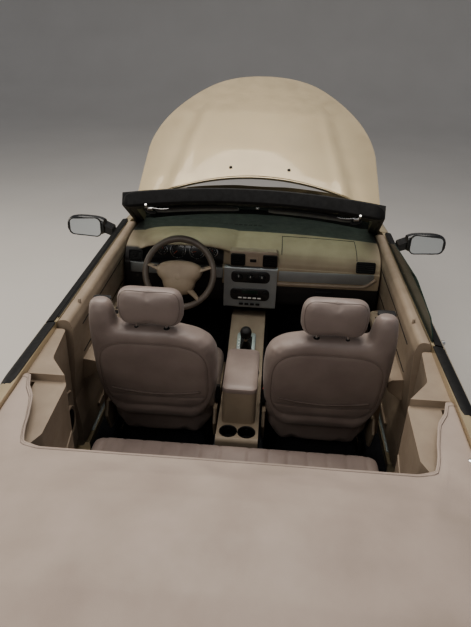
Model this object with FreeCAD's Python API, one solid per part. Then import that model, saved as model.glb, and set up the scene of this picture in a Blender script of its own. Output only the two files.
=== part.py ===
"""Four-seat convertible car. Its folding top is stowed under a soft boot cover, and its hood is propped open.

The car stands on its wheels at z = 0 and faces +X, with +Y on its left. The origin is on the ground, midway along
the car's length. All lengths are millimetres and all angles are degrees.
"""
import FreeCAD, Part
import math
import os
from FreeCAD import Vector

# Overall sizes of the car.
LENGTH = 4920.0
WHEELBASE = 2692.0
FRONT_OVERHANG = 1010.0
TRACK = 1510.0
NOSE_X = LENGTH / 2
TAIL_X = -LENGTH / 2
FRONT_AXLE_X = NOSE_X - FRONT_OVERHANG
REAR_AXLE_X = FRONT_AXLE_X - WHEELBASE
WHEEL_Y = TRACK / 2

# Clearances: round moving panels, and between fixed pieces that rest on each other.
PANEL_GAP = 7.0
MOVING_GAP = 5.0
SEAT_GAP = 0.3
JOINT_GAP = 0.8

# Wheels: 205/60 R16 tyres on five-spoke rims.
TYRE_RADIUS = 326.0
RIM_RADIUS = 205.0
RIM_BARREL = 9.0
RIM_HALF_WIDTH = 92.0
HUB_BORE_RADIUS = 31.0
SPINDLE_RADIUS = HUB_BORE_RADIUS - SEAT_GAP
SPOKES = 5
DISC_RADIUS = 141.0
DISC_THICKNESS = 24.0
ARCH_RADIUS = 360.0
STRUT_Y = 598.0
KNUCKLE_Z = (232.0, 478.0)
LINER_THICKNESS = 10.0

# Body walls.
FENDER_WALL = 46.0
TOP_WALL = 24.0
DOOR_INNER_Y = 752.0
FASCIA_WALL = 46.0
HOOD_THICKNESS = 18.0
BOTTOM_Z = 212.0
WAIST_Z = 565.0
WAIST_BULGE = 22.0
SHOULDER_RADIUS = 52.0
WAIST_RADIUS = 800.0
CROWN_SLOPE = 0.13
CROWN_DROP = 48.0
CROWN_AT_Y = 700.0

# Shut lines.
DOOR_FRONT_X = 785.0
DOOR_REAR_X = -535.0
DOOR_BOTTOM_Z = 292.0
NOSE_JOINT_X = 1850.0
TAIL_JOINT_X = -1650.0
SILL_INNER_Y = 690.0
TRUNK_FRONT_X = -1885.0
WELL_REAR_X = -1838.0
WELL_HALF = 652.0
TRUNK_HALF_FRONT = 590.0
TRUNK_HALF_REAR = 500.0
TRUNK_FACE_BOTTOM_Z = 735.0
COWL_HALF = 742.0

# The hood's plan, shut: its left edge from the front's middle to the rear corner. Columns: x, half width.
HOOD_FRONT_X = 2326.0
HOOD_EDGE = [(2244, 330), (2060, 510), (1800, 672), (1480, 752), (962, 756)]
HOOD_REAR_X = 1184.0

# Hinges. The hood's lies level across the cowl, and each door's stands in the fender's rear edge.
HOOD_HINGE_X = 830.0
HOOD_HINGE_Z = 885.0
HOOD_OPEN_ANGLE = 35.0
HOOD_ARM_Y = 747.0
HOOD_ARM_THICKNESS = 9.0
DOOR_HINGE_X = DOOR_FRONT_X + 62.0
DOOR_HINGE_Y = 852.0
DOOR_HINGE_HEIGHTS = (480.0, 660.0)
DOOR_PIN_RADIUS = 4.5
DOOR_EYE_RADIUS = 9.0
DOOR_NECK = 64.0
HINGE_PIN_RADIUS = 7.0
HINGE_EYE_RADIUS = 14.0
TRUNK_HINGE_X = TRUNK_FRONT_X + 17.0
TRUNK_HINGE_Z = 1001.0
TRUNK_HINGE_Y = 120.0
TRUNK_PIN_RADIUS = 4.5
TRUNK_EYE_RADIUS = 8.0

# Height of the hood's and deck's ridge along the car. Columns: x, z.
RIDGE = [
    (2470, 716),
    (2300, 752),
    (2150, 792),
    (1850, 860),
    (1450, 925),
    (1200, 960),
    (950, 985),
    (200, 1003),
    (-540, 1010),
    (-1242, 1016),
    (-1650, 1014),
    (-1870, 1011),
    (-2080, 1003),
    (-2280, 988),
    (-2470, 964),
]

# Side sections of the body. Columns: x, half width at the bottom, at the waist, at the shoulder.
SIDES = [
    (NOSE_JOINT_X, 768, 826, 756),
    (1450, 800, 866, 792),
    (950, 812, 878, 806),
    (200, 816, 881.5, 814),
    (-540, 816, 881.5, 814),
    (REAR_AXLE_X, 802, 875, 796),
    (TAIL_JOINT_X, 772, 850, 748),
]

# Corners of the nose and tail in plan, as arcs that meet at the arc end's angle.
NOSE_ARC_END = 11.0
TAIL_ARC_END = 10.6
NOSE_ARC_RADIUS = 2300.0
NOSE_CORNER_RADIUS = 450.0
TAIL_ARC_RADIUS = 2600.0
TAIL_CORNER_RADIUS = 400.0
NOSE_DEPTH = 200.0
TAIL_DEPTH = 170.0
SIDE_SWELL = 6.0
END_SETBACK = 3.0

# Sections fanned round a front or rear corner, from the side to the middle.
# Columns: angle of the outward direction from straight ahead (or astern), bottom tuck, shoulder inset.
NOSE_FAN = [(82, 58, 78), (60, 60, 100), (35, 62, 122), (NOSE_ARC_END, 62, 134), (5.5, 62, 134), (0, 62, 134)]
TAIL_FAN = [(80, 76, 108), (55, 70, 114), (32, 66, 110), (TAIL_ARC_END, 64, 104), (5.2, 64, 102), (0, 64, 102)]

# Windshield's outer face. Columns: middle x, corner x, half width, middle z, corner z.
SCREEN_BASE = (1082.0, 905.0, 740.0, 932.0, 925.0)
SCREEN_HEAD = (171.0, 84.0, 612.0, 1338.0, 1316.0)
SCREEN_RUN = SCREEN_BASE[0] - SCREEN_HEAD[0]
SCREEN_RISE = SCREEN_HEAD[3] - SCREEN_BASE[3]
SCREEN_LENGTH = math.hypot(SCREEN_RUN, SCREEN_RISE)
SCREEN_INWARD = Vector(-SCREEN_RISE / SCREEN_LENGTH, 0, -SCREEN_RUN / SCREEN_LENGTH)
PILLAR_WIDTH = 50.0
FRAME_DEPTH = 58.0
FRAME_LOW = 0.06
FRAME_HIGH = 0.945
GLASS_SETBACK = 3.0
GLASS_THICKNESS = 6.0

# Cabin.
FLOOR_Z = 232.0
FLOOR_PLATE = 16.0
FIREWALL_X = 905.0
SEAT_Y = 358.0
BOOT_CORNER_X = -880.0
STEERING_WHEEL = (147.0, 360.0, 889.0)
STEERING_TILT = 24.0
STEERING_RADIUS = 190.0
STEERING_GRIP = 15.0
STEERING_BOSS = 58.0
STACK_HALF = 142.0
COWL_REACH = 240.0
MIRROR = (508.0, 940.0, 990.0)


def at_x(x):
    """Places a flat outline's (a, b) as (y, z) in the plane at x."""
    return lambda p: Vector(x, p.x, p.y)


def at_y(y):
    """Places a flat outline's (a, b) as (x, z) in the plane at y."""
    return lambda p: Vector(p.x, y, p.y)


def at_z(z):
    """Places a flat outline's (a, b) as (x, y) in the plane at z."""
    return lambda p: Vector(p.x, p.y, z)


def rounded(points, place):
    """A closed wire of straight runs joined by tangent arcs. Each point is (a, b, radius)."""
    count = len(points)
    corners = []
    for i, (a, b, radius) in enumerate(points):
        here = Vector(a, b, 0)
        to_last = Vector(points[i - 1][0], points[i - 1][1], 0) - here
        to_next = Vector(points[(i + 1) % count][0], points[(i + 1) % count][1], 0) - here
        reach = 0.47 * min(to_last.Length, to_next.Length)
        to_last.normalize()
        to_next.normalize()
        half = math.acos(max(-1.0, min(1.0, to_last.dot(to_next)))) / 2
        if radius <= 0 or half > math.pi / 2 - 1e-4:
            corners.append((here, None, here))
            continue
        tangent = min(radius / math.tan(half), reach)
        fitted = tangent * math.tan(half)
        inward = to_last + to_next
        inward.normalize()
        middle = here + inward * (fitted / math.sin(half) - fitted)
        corners.append((here + to_last * tangent, middle, here + to_next * tangent))
    edges = []
    for i, (start, middle, end) in enumerate(corners):
        if middle is not None:
            edges.append(Part.Arc(place(start), place(middle), place(end)).toShape())
        edges.append(Part.LineSegment(place(end), place(corners[(i + 1) % count][0])).toShape())
    return Part.Wire(edges)


def block(x, y, z):
    """A box from three (low, high) pairs."""
    return Part.makeBox(x[1] - x[0], y[1] - y[0], z[1] - z[0], Vector(x[0], y[0], z[0]))


def slab_y(points, y):
    """A side outline of (x, z, radius) points, extruded between two y values."""
    return Part.Face(rounded(points, at_y(y[0]))).extrude(Vector(0, y[1] - y[0], 0))


def slab_x(points, x):
    """A front outline of (y, z, radius) points, extruded between two x values."""
    return Part.Face(rounded(points, at_x(x[0]))).extrude(Vector(x[1] - x[0], 0, 0))


def slab_z(points, z):
    """A plan outline of (x, y, radius) points, extruded between two heights."""
    return Part.Face(rounded(points, at_z(z[0]))).extrude(Vector(0, 0, z[1] - z[0]))


def rod(radius, start, end):
    """A round bar between two points."""
    along = Vector(*end) - Vector(*start)
    return Part.makeCylinder(radius, along.Length, Vector(*start), along)


def rounded_block(x, y, z, radius):
    """A box with its upright edges rounded."""
    points = [(x[0], y[0], radius), (x[1], y[0], radius), (x[1], y[1], radius), (x[0], y[1], radius)]
    return slab_z(points, z)


def flip(shape):
    """The same shape on the car's other side."""
    return shape.mirror(Vector(0, 0, 0), Vector(0, 1, 0))


def pair(shape):
    """A left piece and its mirrored twin."""
    return [shape, flip(shape)]


def fused(shapes):
    """One solid from pieces that overlap."""
    return shapes[0].multiFuse(shapes[1:]).removeSplitter()


def table_value(table, x, column=1):
    """A column of a table at x, on straight lines between its rows."""
    rows = sorted(table)
    if x <= rows[0][0]:
        return rows[0][column]
    for low, high in zip(rows, rows[1:]):
        if x <= high[0]:
            share = (x - low[0]) / (high[0] - low[0])
            return low[column] + share * (high[column] - low[column])
    return rows[-1][column]


def top_height(x, y):
    """Height of the hood's and deck's crowned surface."""
    return table_value(RIDGE, x) - CROWN_DROP * (y / CROWN_AT_Y) ** 2


def wall_outline(x, bottom, waist, shoulder, inset, top):
    """A section across the whole body, drawn in by inset at the sides and by top above."""
    shoulder_z = top_height(x, shoulder) - top
    low = BOTTOM_Z if inset == 0 else BOTTOM_Z - 60
    half = [
        (bottom - inset, low, 34),
        (waist + WAIST_BULGE - inset, WAIST_Z, WAIST_RADIUS),
        (shoulder - inset, shoulder_z, SHOULDER_RADIUS),
    ]
    apex = (0, shoulder_z + CROWN_SLOPE * shoulder, 1500)
    other = [(-a, b, r) for a, b, r in reversed(half)]
    return rounded(half + [apex] + other, at_x(x))


def middle_body(inset=0.0, top=0.0):
    """The body between the nose and tail joints, as one solid."""
    return Part.makeLoft([wall_outline(*row, inset, top) for row in reversed(SIDES)], True, False)


def fan_stations(fan, arc_end_angle, arc_radius, corner_radius, end_x, joint_row, ahead):
    """Where each fanned section stands, from the left side to the middle: point, outward direction, tuck, inset."""
    arc_end = math.radians(arc_end_angle)
    arc_centre = end_x - ahead * arc_radius
    corner = Vector(
        arc_centre + ahead * (arc_radius - corner_radius) * math.cos(arc_end),
        (arc_radius - corner_radius) * math.sin(arc_end),
        0,
    )
    x, bottom, waist, shoulder = joint_row
    stations = [(Vector(x, waist, 0), Vector(0, 1, 0), waist - bottom, waist - shoulder)]
    for angle, tuck, inset in fan:
        turn = math.radians(angle)
        out = Vector(ahead * math.cos(turn), math.sin(turn), 0)
        on_arc = angle <= arc_end_angle
        start = Vector(arc_centre, 0, 0) if on_arc else corner
        radius = arc_radius if on_arc else corner_radius
        stations.append((start + out * radius, out, tuck, inset))
    first, second = stations[0], stations[1]
    if (second[0] - first[0]).Length > 300:
        out = (first[1] + second[1]).normalize()
        halfway = (first[0] + second[0]) * 0.5 + out * SIDE_SWELL
        stations.insert(1, (halfway, out, (first[2] + second[2]) / 2, (first[3] + second[3]) / 2))
    return stations


def fan_outline(station, depth, top, skin):
    """One fanned section of the nose's or tail's wall, skin thick, with a ledge top thick that reaches in to depth."""
    point, out, tuck, inset = station
    shoulder = point - out * inset
    inner = point - out * depth
    shoulder_z = top_height(shoulder.x, shoulder.y)
    inner_z = top_height(inner.x, inner.y)
    points = [
        (-tuck, BOTTOM_Z, 12),
        (WAIST_BULGE, WAIST_Z, WAIST_RADIUS),
        (-inset, shoulder_z, SHOULDER_RADIUS),
        (-depth, inner_z, 0),
        (-depth, inner_z - top, 0),
        (-inset - skin * 0.7, shoulder_z - top, SHOULDER_RADIUS * 0.5),
        (WAIST_BULGE - skin, WAIST_Z, WAIST_RADIUS),
        (-tuck - skin, BOTTOM_Z, 12),
    ]
    return rounded(points, lambda p: Vector(point.x + out.x * p.x, point.y + out.y * p.x, p.y))


def end_stations(which):
    """The fanned stations of the nose or tail, from the left joint round to the right one."""
    if which == "nose":
        half = fan_stations(NOSE_FAN, NOSE_ARC_END, NOSE_ARC_RADIUS, NOSE_CORNER_RADIUS, NOSE_X - END_SETBACK, SIDES[0], 1)
    else:
        half = fan_stations(TAIL_FAN, TAIL_ARC_END, TAIL_ARC_RADIUS, TAIL_CORNER_RADIUS, TAIL_X + END_SETBACK, SIDES[-1], -1)
    other = [(Vector(p.x, -p.y, 0), Vector(o.x, -o.y, 0), tuck, inset) for p, o, tuck, inset in half[-2::-1]]
    return half + other


def end_wall(which, depth, skin):
    """The nose or tail as one hollow curved wall round both corners."""
    wires = [fan_outline(station, depth, TOP_WALL, skin) for station in end_stations(which)]
    return Part.makeLoft(wires, True, False, False, 3)


def tail_column(depth):
    """The plan inside the tail's wall, as an upright column."""
    curve = Part.BSplineCurve()
    curve.interpolate([p - o * depth + Vector(0, 0, 600) for p, o, tuck, inset in end_stations("tail")])
    edges = [curve.toShape(), Part.LineSegment(curve.EndPoint, curve.StartPoint).toShape()]
    return Part.Face(Part.Wire(edges)).extrude(Vector(0, 0, 600))


def crown_section(x, half, edge, crest, thickness):
    """A closed section of a crowned sheet at x."""
    corners = [Vector(x, -half, edge - thickness), Vector(x, -half, edge)]
    corners += [Vector(x, half, edge), Vector(x, half, edge - thickness)]
    over = Part.Arc(corners[1], Vector(x, 0, crest), corners[2]).toShape()
    under = Part.Arc(corners[3], Vector(x, 0, crest - thickness), corners[0]).toShape()
    left = Part.LineSegment(corners[0], corners[1]).toShape()
    right = Part.LineSegment(corners[2], corners[3]).toShape()
    return Part.Wire([left, over, right, under])


def crown_slab(low_x, high_x, thickness, below=0.0):
    """A crowned sheet that follows the hood's or deck's surface."""
    half = 940.0
    stops = [low_x] + [r[0] for r in sorted(RIDGE) if low_x + 30 < r[0] < high_x - 30] + [high_x]
    wires = [crown_section(x, half, top_height(x, half) - below, top_height(x, 0) - below, thickness) for x in stops]
    return Part.makeLoft(wires, True, False)


def hood_column(grow=0.0, z=(500, 1200)):
    """The hood's plan as an upright column, grown all round by the gap to its opening."""
    side = [Vector(x + grow * 0.6, y + grow, z[0]) for x, y in HOOD_EDGE[:-2]]
    side += [Vector(HOOD_EDGE[-2][0], HOOD_EDGE[-2][1] + grow, z[0])]
    corner = Vector(HOOD_EDGE[-1][0] - grow, HOOD_EDGE[-1][1] + grow, z[0])
    nose = Vector(HOOD_FRONT_X + grow, 0, z[0])
    tail = Vector(HOOD_REAR_X - grow, 0, z[0])
    other = [Vector(p.x, -p.y, z[0]) for p in side]
    front = Part.BSplineCurve()
    front.interpolate(list(reversed(other)) + [nose] + side)
    other_corner = Vector(corner.x, -corner.y, z[0])
    edges = [
        front.toShape(),
        Part.LineSegment(side[-1], corner).toShape(),
        Part.Arc(corner, tail, other_corner).toShape(),
        Part.LineSegment(other_corner, other[-1]).toShape(),
    ]
    return Part.Face(Part.Wire(edges)).extrude(Vector(0, 0, z[1] - z[0]))


def opened(shape):
    """Turns a shut hood shape up about its hinge."""
    turned = shape.copy()
    turned.rotate(Vector(HOOD_HINGE_X, 0, HOOD_HINGE_Z), Vector(0, -1, 0), HOOD_OPEN_ANGLE)
    return turned


def link(start, end, half_width, y):
    """A flat bar between two (x, z) points, with round ends."""
    ends = [Part.makeCylinder(half_width, y[1] - y[0], Vector(x, y[0], z), Vector(0, 1, 0)) for x, z in (start, end)]
    along = Vector(end[0] - start[0], end[1] - start[1], 0).normalize()
    side = Vector(-along.y, along.x, 0) * half_width
    corners = [(start[0] + side.x, start[1] + side.y, 0), (end[0] + side.x, end[1] + side.y, 0)]
    corners += [(end[0] - side.x, end[1] - side.y, 0), (start[0] - side.x, start[1] - side.y, 0)]
    return fused([slab_y(corners, y)] + ends)


def hood_arm():
    """The hood's left hinge arm, shut: it dips under the fender's ledge and rises to the hood's underside."""
    pivot = (HOOD_HINGE_X, HOOD_HINGE_Z)
    low = (HOOD_HINGE_X + 101, HOOD_HINGE_Z - 83)
    top = (HOOD_HINGE_X + 223, HOOD_HINGE_Z + 14)
    y = (HOOD_ARM_Y, HOOD_ARM_Y + HOOD_ARM_THICKNESS)
    skin_z = top_height(top[0] + 60, HOOD_ARM_Y)
    foot = block((top[0] - 8, top[0] + 60), y, (top[1] - 8, skin_z - 4))
    eye = Part.makeCylinder(HINGE_EYE_RADIUS, HOOD_ARM_THICKNESS, Vector(pivot[0], y[0], pivot[1]), Vector(0, 1, 0))
    bore = rod(HINGE_PIN_RADIUS + SEAT_GAP, (pivot[0], y[0] - 5, pivot[1]), (pivot[0], y[1] + 5, pivot[1]))
    return fused([eye, link(pivot, low, 8, y), link(low, top, 8, y), foot]).cut(bore)


def hood():
    """The hood, propped open: a crowned skin with a rim round its underside and two hinge arms."""
    skin = crown_slab(HOOD_EDGE[-1][0] - 40, HOOD_FRONT_X + 20, HOOD_THICKNESS).common(hood_column())
    rim = crown_slab(HOOD_EDGE[-1][0] - 40, HOOD_FRONT_X + 20, HOOD_THICKNESS, HOOD_THICKNESS - 1)
    rim = rim.common(hood_column(-22)).cut(hood_column(-90))
    arm = hood_arm()
    return opened(fused([skin, rim, arm, flip(arm)]))


def arch(axle_x, y, grow=0.0):
    """The round space over a left wheel."""
    centre = Vector(axle_x, y[0], TYRE_RADIUS)
    return Part.makeCylinder(ARCH_RADIUS + grow, y[1] - y[0], centre, Vector(0, 1, 0))


def door_swing(grow=0.0):
    """The cylinder that the left door's rear edge sweeps."""
    radius = DOOR_HINGE_X - DOOR_REAR_X + grow
    centre = Vector(DOOR_HINGE_X, DOOR_HINGE_Y, DOOR_BOTTOM_Z - PANEL_GAP)
    return Part.makeCylinder(radius, 1400, centre, Vector(0, 0, 1))


def fender(hull, core):
    """Left front fender, from the door to the nose joint, round its wheel."""
    piece = hull.cut(core)
    piece = piece.common(block((DOOR_FRONT_X + PANEL_GAP, NOSE_JOINT_X - JOINT_GAP), (20, 1000), (100, 1200)))
    piece = piece.cut(hood_column(PANEL_GAP))
    piece = piece.cut(arch(FRONT_AXLE_X, (450, 980)))
    piece = piece.cut(block((700, 1300), (0, COWL_HALF), (500, 1200)))
    arm_y = (HOOD_ARM_Y - 6, HOOD_ARM_Y + HOOD_ARM_THICKNESS + 6)
    piece = piece.cut(block((HOOD_HINGE_X - 22, HOOD_HINGE_X + 170), arm_y, (HOOD_HINGE_Z - 60, HOOD_HINGE_Z + 20)))
    piece = piece.cut(block((HOOD_HINGE_X + 114, HOOD_HINGE_X + 170), arm_y, (HOOD_HINGE_Z - 60, 1200)))
    pins = [rod(HINGE_PIN_RADIUS, (HOOD_HINGE_X, HOOD_ARM_Y - 3, HOOD_HINGE_Z), (HOOD_HINGE_X, 800, HOOD_HINGE_Z))]
    for z in DOOR_HINGE_HEIGHTS:
        x = (DOOR_FRONT_X, DOOR_HINGE_X + DOOR_EYE_RADIUS + PANEL_GAP)
        piece = piece.cut(block(x, (760, DOOR_HINGE_Y + DOOR_EYE_RADIUS + MOVING_GAP), (z - 22, z + 22)))
        pins.append(rod(DOOR_PIN_RADIUS, (DOOR_HINGE_X, DOOR_HINGE_Y, z - 32), (DOOR_HINGE_X, DOOR_HINGE_Y, z + 32)))
    edge = block((DOOR_FRONT_X, DOOR_FRONT_X + 20), (DOOR_HINGE_Y, 1000), (100, 1200))
    swept = DOOR_HINGE_X - DOOR_FRONT_X - MOVING_GAP
    edge = edge.cut(Part.makeCylinder(swept, 1100, Vector(DOOR_HINGE_X, DOOR_HINGE_Y, 100)))
    return fused([piece.cut(edge)] + pins)


def door_hinge(z):
    """A goose-neck strap from the left door's front face to its hinge pin."""
    height = (z - 15, z + 15)
    eye = Part.makeCylinder(DOOR_EYE_RADIUS, 30, Vector(DOOR_HINGE_X, DOOR_HINGE_Y, z - 15))
    inward = block((DOOR_HINGE_X - 6, DOOR_HINGE_X + 6), (DOOR_HINGE_Y - DOOR_NECK, DOOR_HINGE_Y), height)
    back = block((DOOR_FRONT_X - 20, DOOR_HINGE_X + 6), (DOOR_HINGE_Y - DOOR_NECK, DOOR_HINGE_Y - DOOR_NECK + 12), height)
    bore = Part.makeCylinder(DOOR_PIN_RADIUS + SEAT_GAP, 40, Vector(DOOR_HINGE_X, DOOR_HINGE_Y, z - 20))
    return fused([eye, inward, back]).cut(bore)


def door(hull):
    """Left door's painted shell with its pull handle over a finger cup."""
    box = block((DOOR_REAR_X - 60, DOOR_FRONT_X), (DOOR_INNER_Y, 1000), (DOOR_BOTTOM_Z, 1200))
    piece = hull.common(box).common(door_swing())
    cup = slab_y(
        [(DOOR_REAR_X + 72, 768, 24), (DOOR_REAR_X + 250, 768, 24), (DOOR_REAR_X + 250, 836, 24), (DOOR_REAR_X + 72, 836, 24)],
        (836, 920),
    )
    bar = [(836, 792, 0), (872, 792, 10), (872, 816, 10), (836, 816, 0)]
    grip = slab_x(bar, (DOOR_REAR_X + 60, DOOR_REAR_X + 262)).cut(
        block((DOOR_REAR_X + 84, DOOR_REAR_X + 238), (800, 858), (780, 830))
    )
    return fused([piece.cut(cup), grip] + [door_hinge(z) for z in DOOR_HINGE_HEIGHTS])


def door_trim():
    """Left door's inner panel: a padded top roll, an armrest and a pocket."""
    inner = DOOR_INNER_Y - SEAT_GAP
    panel = [
        (inner, DOOR_BOTTOM_Z + 10, 0),
        (inner, 958, 16),
        (706, 962, 24),
        (692, 915, 50),
        (702, 720, 40),
        (716, 560, 30),
        (700, 420, 10),
        (700, DOOR_BOTTOM_Z + 10, 10),
    ]
    armrest = [(720, 705, 10), (640, 695, 22), (644, 640, 26), (720, 590, 10)]
    piece = slab_x(panel, (DOOR_REAR_X - 40, DOOR_FRONT_X - 60))
    rest = slab_x(armrest, (DOOR_REAR_X + 120, 230))
    under_frame = slab_y([(668, 966, 0), (740, 929, 0), (740, 1000, 0), (668, 1000, 0)], (600, 800))
    return piece.fuse(rest).common(door_swing()).cut(under_frame).removeSplitter()


def belt_strip(hull):
    """Left door's weatherstrip, on the top edge of its shell."""
    outer = [(DOOR_INNER_Y + 12, 900, 0), (DOOR_INNER_Y + 12, 958, 4), (796, 952, 6), (803, 900, 0)]
    piece = slab_x(outer, (DOOR_REAR_X - 40, DOOR_FRONT_X - 50)).common(door_swing())
    return piece.cut(hull)


def mirror(hull):
    """Left door mirror's housing on its stalk, seated on the door."""
    x, y, z = MIRROR
    sections = [(-104, 38, 44), (-60, 48, 60), (20, 50, 66), (78, 40, 56), (98, 22, 34)]
    wires = []
    for offset, depth, height in sections:
        points = [(-36, -height, 24), (depth, -height * 0.75, 26), (depth + 8, height * 0.6, 26), (-36, height, 24)]
        wires.append(rounded([(x + a, z + b, r) for a, b, r in points], at_y(y + offset)))
    shell = Part.makeLoft(wires, True, False)
    stalk = slab_x([(790, 935, 0), (794, 975, 4), (860, 1005, 8), (860, 962, 8)], (x - 20, x + 60))
    return shell.fuse(stalk).removeSplitter().cut(hull)


def cabin_plan(shrink=0.0):
    """The space between the quarter panels, from the doors to the rear of the folded top's well."""
    return [
        (-440, -760, 0),
        (-440, 760, 0),
        (DOOR_REAR_X - 10, DOOR_INNER_Y - shrink, 0),
        (REAR_AXLE_X, 742 - shrink, 90),
        (WELL_REAR_X + shrink, WELL_HALF - shrink, 0),
        (WELL_REAR_X + shrink, -WELL_HALF + shrink, 0),
        (REAR_AXLE_X, -742 + shrink, 90),
        (DOOR_REAR_X - 10, -DOOR_INNER_Y + shrink, 0),
    ]


def quarter(hull):
    """Left rear quarter panel, from the door to the tail joint, round its wheel."""
    piece = hull.common(block((TAIL_JOINT_X, DOOR_REAR_X + 50), (20, 1000), (100, 1200)))
    piece = piece.cut(slab_z(cabin_plan(), (100, 1300)))
    piece = piece.cut(arch(REAR_AXLE_X, (450, 980)))
    piece = piece.cut(block((-700, 0), (20, SILL_INNER_Y + 70), (100, 400)))
    return piece.cut(door_swing(PANEL_GAP))


def trunk_outline(grow=0.0):
    """Plan of the trunk lid, or of its opening when grown by the gap."""
    return [
        (TRUNK_FRONT_X + grow, TRUNK_HALF_FRONT + grow, 60),
        (TAIL_X - 60, TRUNK_HALF_REAR + grow, 0),
        (TAIL_X - 60, -TRUNK_HALF_REAR - grow, 0),
        (TRUNK_FRONT_X + grow, -TRUNK_HALF_FRONT - grow, 60),
    ]


def tail_shell():
    """The tail's outer wall and its deck, as one shell before the lid, lamps and bumper are divided."""
    column = tail_column(TAIL_DEPTH - 16)
    deck = crown_slab(TAIL_X + 80, TAIL_JOINT_X, TOP_WALL).common(column)
    deck = deck.cut(slab_z(cabin_plan(), (700, 1300)))
    return end_wall("tail", TAIL_DEPTH, FENDER_WALL).cut(column).fuse(deck)


def trunk_eye(y):
    """One of the trunk lid's hinge eyes, flush with the deck, round a pin in the deck's rear edge."""
    eye = rod(TRUNK_EYE_RADIUS, (TRUNK_HINGE_X, y - 15, TRUNK_HINGE_Z), (TRUNK_HINGE_X, y + 15, TRUNK_HINGE_Z))
    low = TRUNK_HINGE_Z - TRUNK_EYE_RADIUS
    tongue = block((TRUNK_FRONT_X - 12, TRUNK_HINGE_X), (y - 15, y + 15), (low, TRUNK_HINGE_Z + TRUNK_EYE_RADIUS - 1))
    bore = rod(TRUNK_PIN_RADIUS + SEAT_GAP, (TRUNK_HINGE_X, y - 20, TRUNK_HINGE_Z), (TRUNK_HINGE_X, y + 20, TRUNK_HINGE_Z))
    return fused([eye, tongue]).cut(bore)


def lamp_window(grow=0.0):
    """The left tail lamp's outline seen from behind, as a solid through the tail."""
    points = [
        (TRUNK_HALF_REAR + 14 - grow, 742 - grow, 12),
        (TRUNK_HALF_REAR + 14 - grow, 872 + grow, 22),
        (812 + grow, 838 + grow, 22),
        (826 + grow, 748 - grow, 22),
    ]
    return slab_x(points, (TAIL_X - 60, -2115 + grow))


def tail_pieces(shell):
    """Trunk lid, lamps, left quarter end and rear bumper, cut from the tail's shell."""
    lid = shell.common(slab_z(trunk_outline(), (TRUNK_FACE_BOTTOM_Z, 1200)))
    lid = fused([lid, trunk_eye(TRUNK_HINGE_Y), trunk_eye(-TRUNK_HINGE_Y)])
    rest = shell.cut(slab_z(trunk_outline(PANEL_GAP), (TRUNK_FACE_BOTTOM_Z - PANEL_GAP, 1200)))
    lamps = [rest.common(lamp_window()), rest.common(flip(lamp_window()))]
    rest = rest.cut(lamp_window(SEAT_GAP)).cut(flip(lamp_window(SEAT_GAP)))
    split_z = TRUNK_FACE_BOTTOM_Z - PANEL_GAP
    bumper = rest.common(block((-2600, TAIL_JOINT_X - JOINT_GAP), (-1000, 1000), (100, split_z - JOINT_GAP)))
    upper = rest.common(block((-2600, TAIL_JOINT_X), (0, 1000), (split_z, 1200)))
    notch_x = (TRUNK_FRONT_X, TRUNK_HINGE_X + TRUNK_EYE_RADIUS + 5)
    upper = upper.cut(block(notch_x, (TRUNK_HINGE_Y - 21, TRUNK_HINGE_Y + 21), (900, 1100)))
    pin = rod(TRUNK_PIN_RADIUS, (TRUNK_HINGE_X, TRUNK_HINGE_Y - 28, TRUNK_HINGE_Z), (TRUNK_HINGE_X, TRUNK_HINGE_Y + 28, TRUNK_HINGE_Z))
    upper = upper.fuse(pin)
    plate = block((TAIL_X - 60, TAIL_X + 22), (-262, 262), (452, 600))
    return lid, lamps, upper, bumper.cut(plate)


def screen_slab(low, high, side, start, end):
    """Part of the windshield's curved sheet: low and high are shares of its slope, and side narrows each end."""
    arcs = []
    for share in (low, high):
        middle_x, corner_x, half, middle_z, corner_z = [
            a + (b - a) * share for a, b in zip(SCREEN_BASE, SCREEN_HEAD)
        ]
        reach = half - side
        bend = (reach / half) ** 2
        x = middle_x - (middle_x - corner_x) * bend
        z = middle_z - (middle_z - corner_z) * bend
        arcs.append(Part.Arc(Vector(x, -reach, z), Vector(middle_x, 0, middle_z), Vector(x, reach, z)).toShape())
    face = Part.makeRuledSurface(arcs[0], arcs[1])
    face.translate(SCREEN_INWARD * start)
    return face.extrude(SCREEN_INWARD * (end - start))


def windshield_pieces():
    """Painted frame, glass, black header trim and the sun visors."""
    frame = screen_slab(0, 1, 0, 0, FRAME_DEPTH)
    frame = frame.cut(screen_slab(FRAME_LOW, FRAME_HIGH, PILLAR_WIDTH, -10, FRAME_DEPTH + 20))
    glass = screen_slab(
        FRAME_LOW + 0.0003, FRAME_HIGH - 0.0003, PILLAR_WIDTH + 0.3, GLASS_SETBACK, GLASS_SETBACK + GLASS_THICKNESS
    )
    back = screen_slab(1.0003, 1.028, 0, 2, FRAME_DEPTH + 16)
    under = screen_slab(0.90, 1.028, 4, FRAME_DEPTH + SEAT_GAP, FRAME_DEPTH + 16)
    trim = back.fuse(under).removeSplitter()
    visors = []
    for y in ((70, 470), (-470, -70)):
        sheet = screen_slab(0.80, 0.96, 40, FRAME_DEPTH + 16 + SEAT_GAP, FRAME_DEPTH + 34)
        visors.append(sheet.common(block((-200, 1200), y, (800, 1500))))
    return frame, glass, trim, visors


def cowl():
    """Black panel between the hood's rear edge and the windshield."""
    sheet = crown_slab(860, 1200, 14, 8)
    sheet = sheet.common(block((860, 1190), (-COWL_HALF + SEAT_GAP, COWL_HALF - SEAT_GAP), (700, 1100)))
    sheet = sheet.cut(hood_column(10))
    return sheet.cut(screen_slab(-0.3, 0.5, -80, -SEAT_GAP, 400))


def sill(hull):
    """Left painted sill under the door."""
    x = (DOOR_REAR_X + 50 + SEAT_GAP, DOOR_FRONT_X + PANEL_GAP - SEAT_GAP)
    return hull.common(block(x, (SILL_INNER_Y, 1000), (200, DOOR_BOTTOM_Z - PANEL_GAP)))


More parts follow.
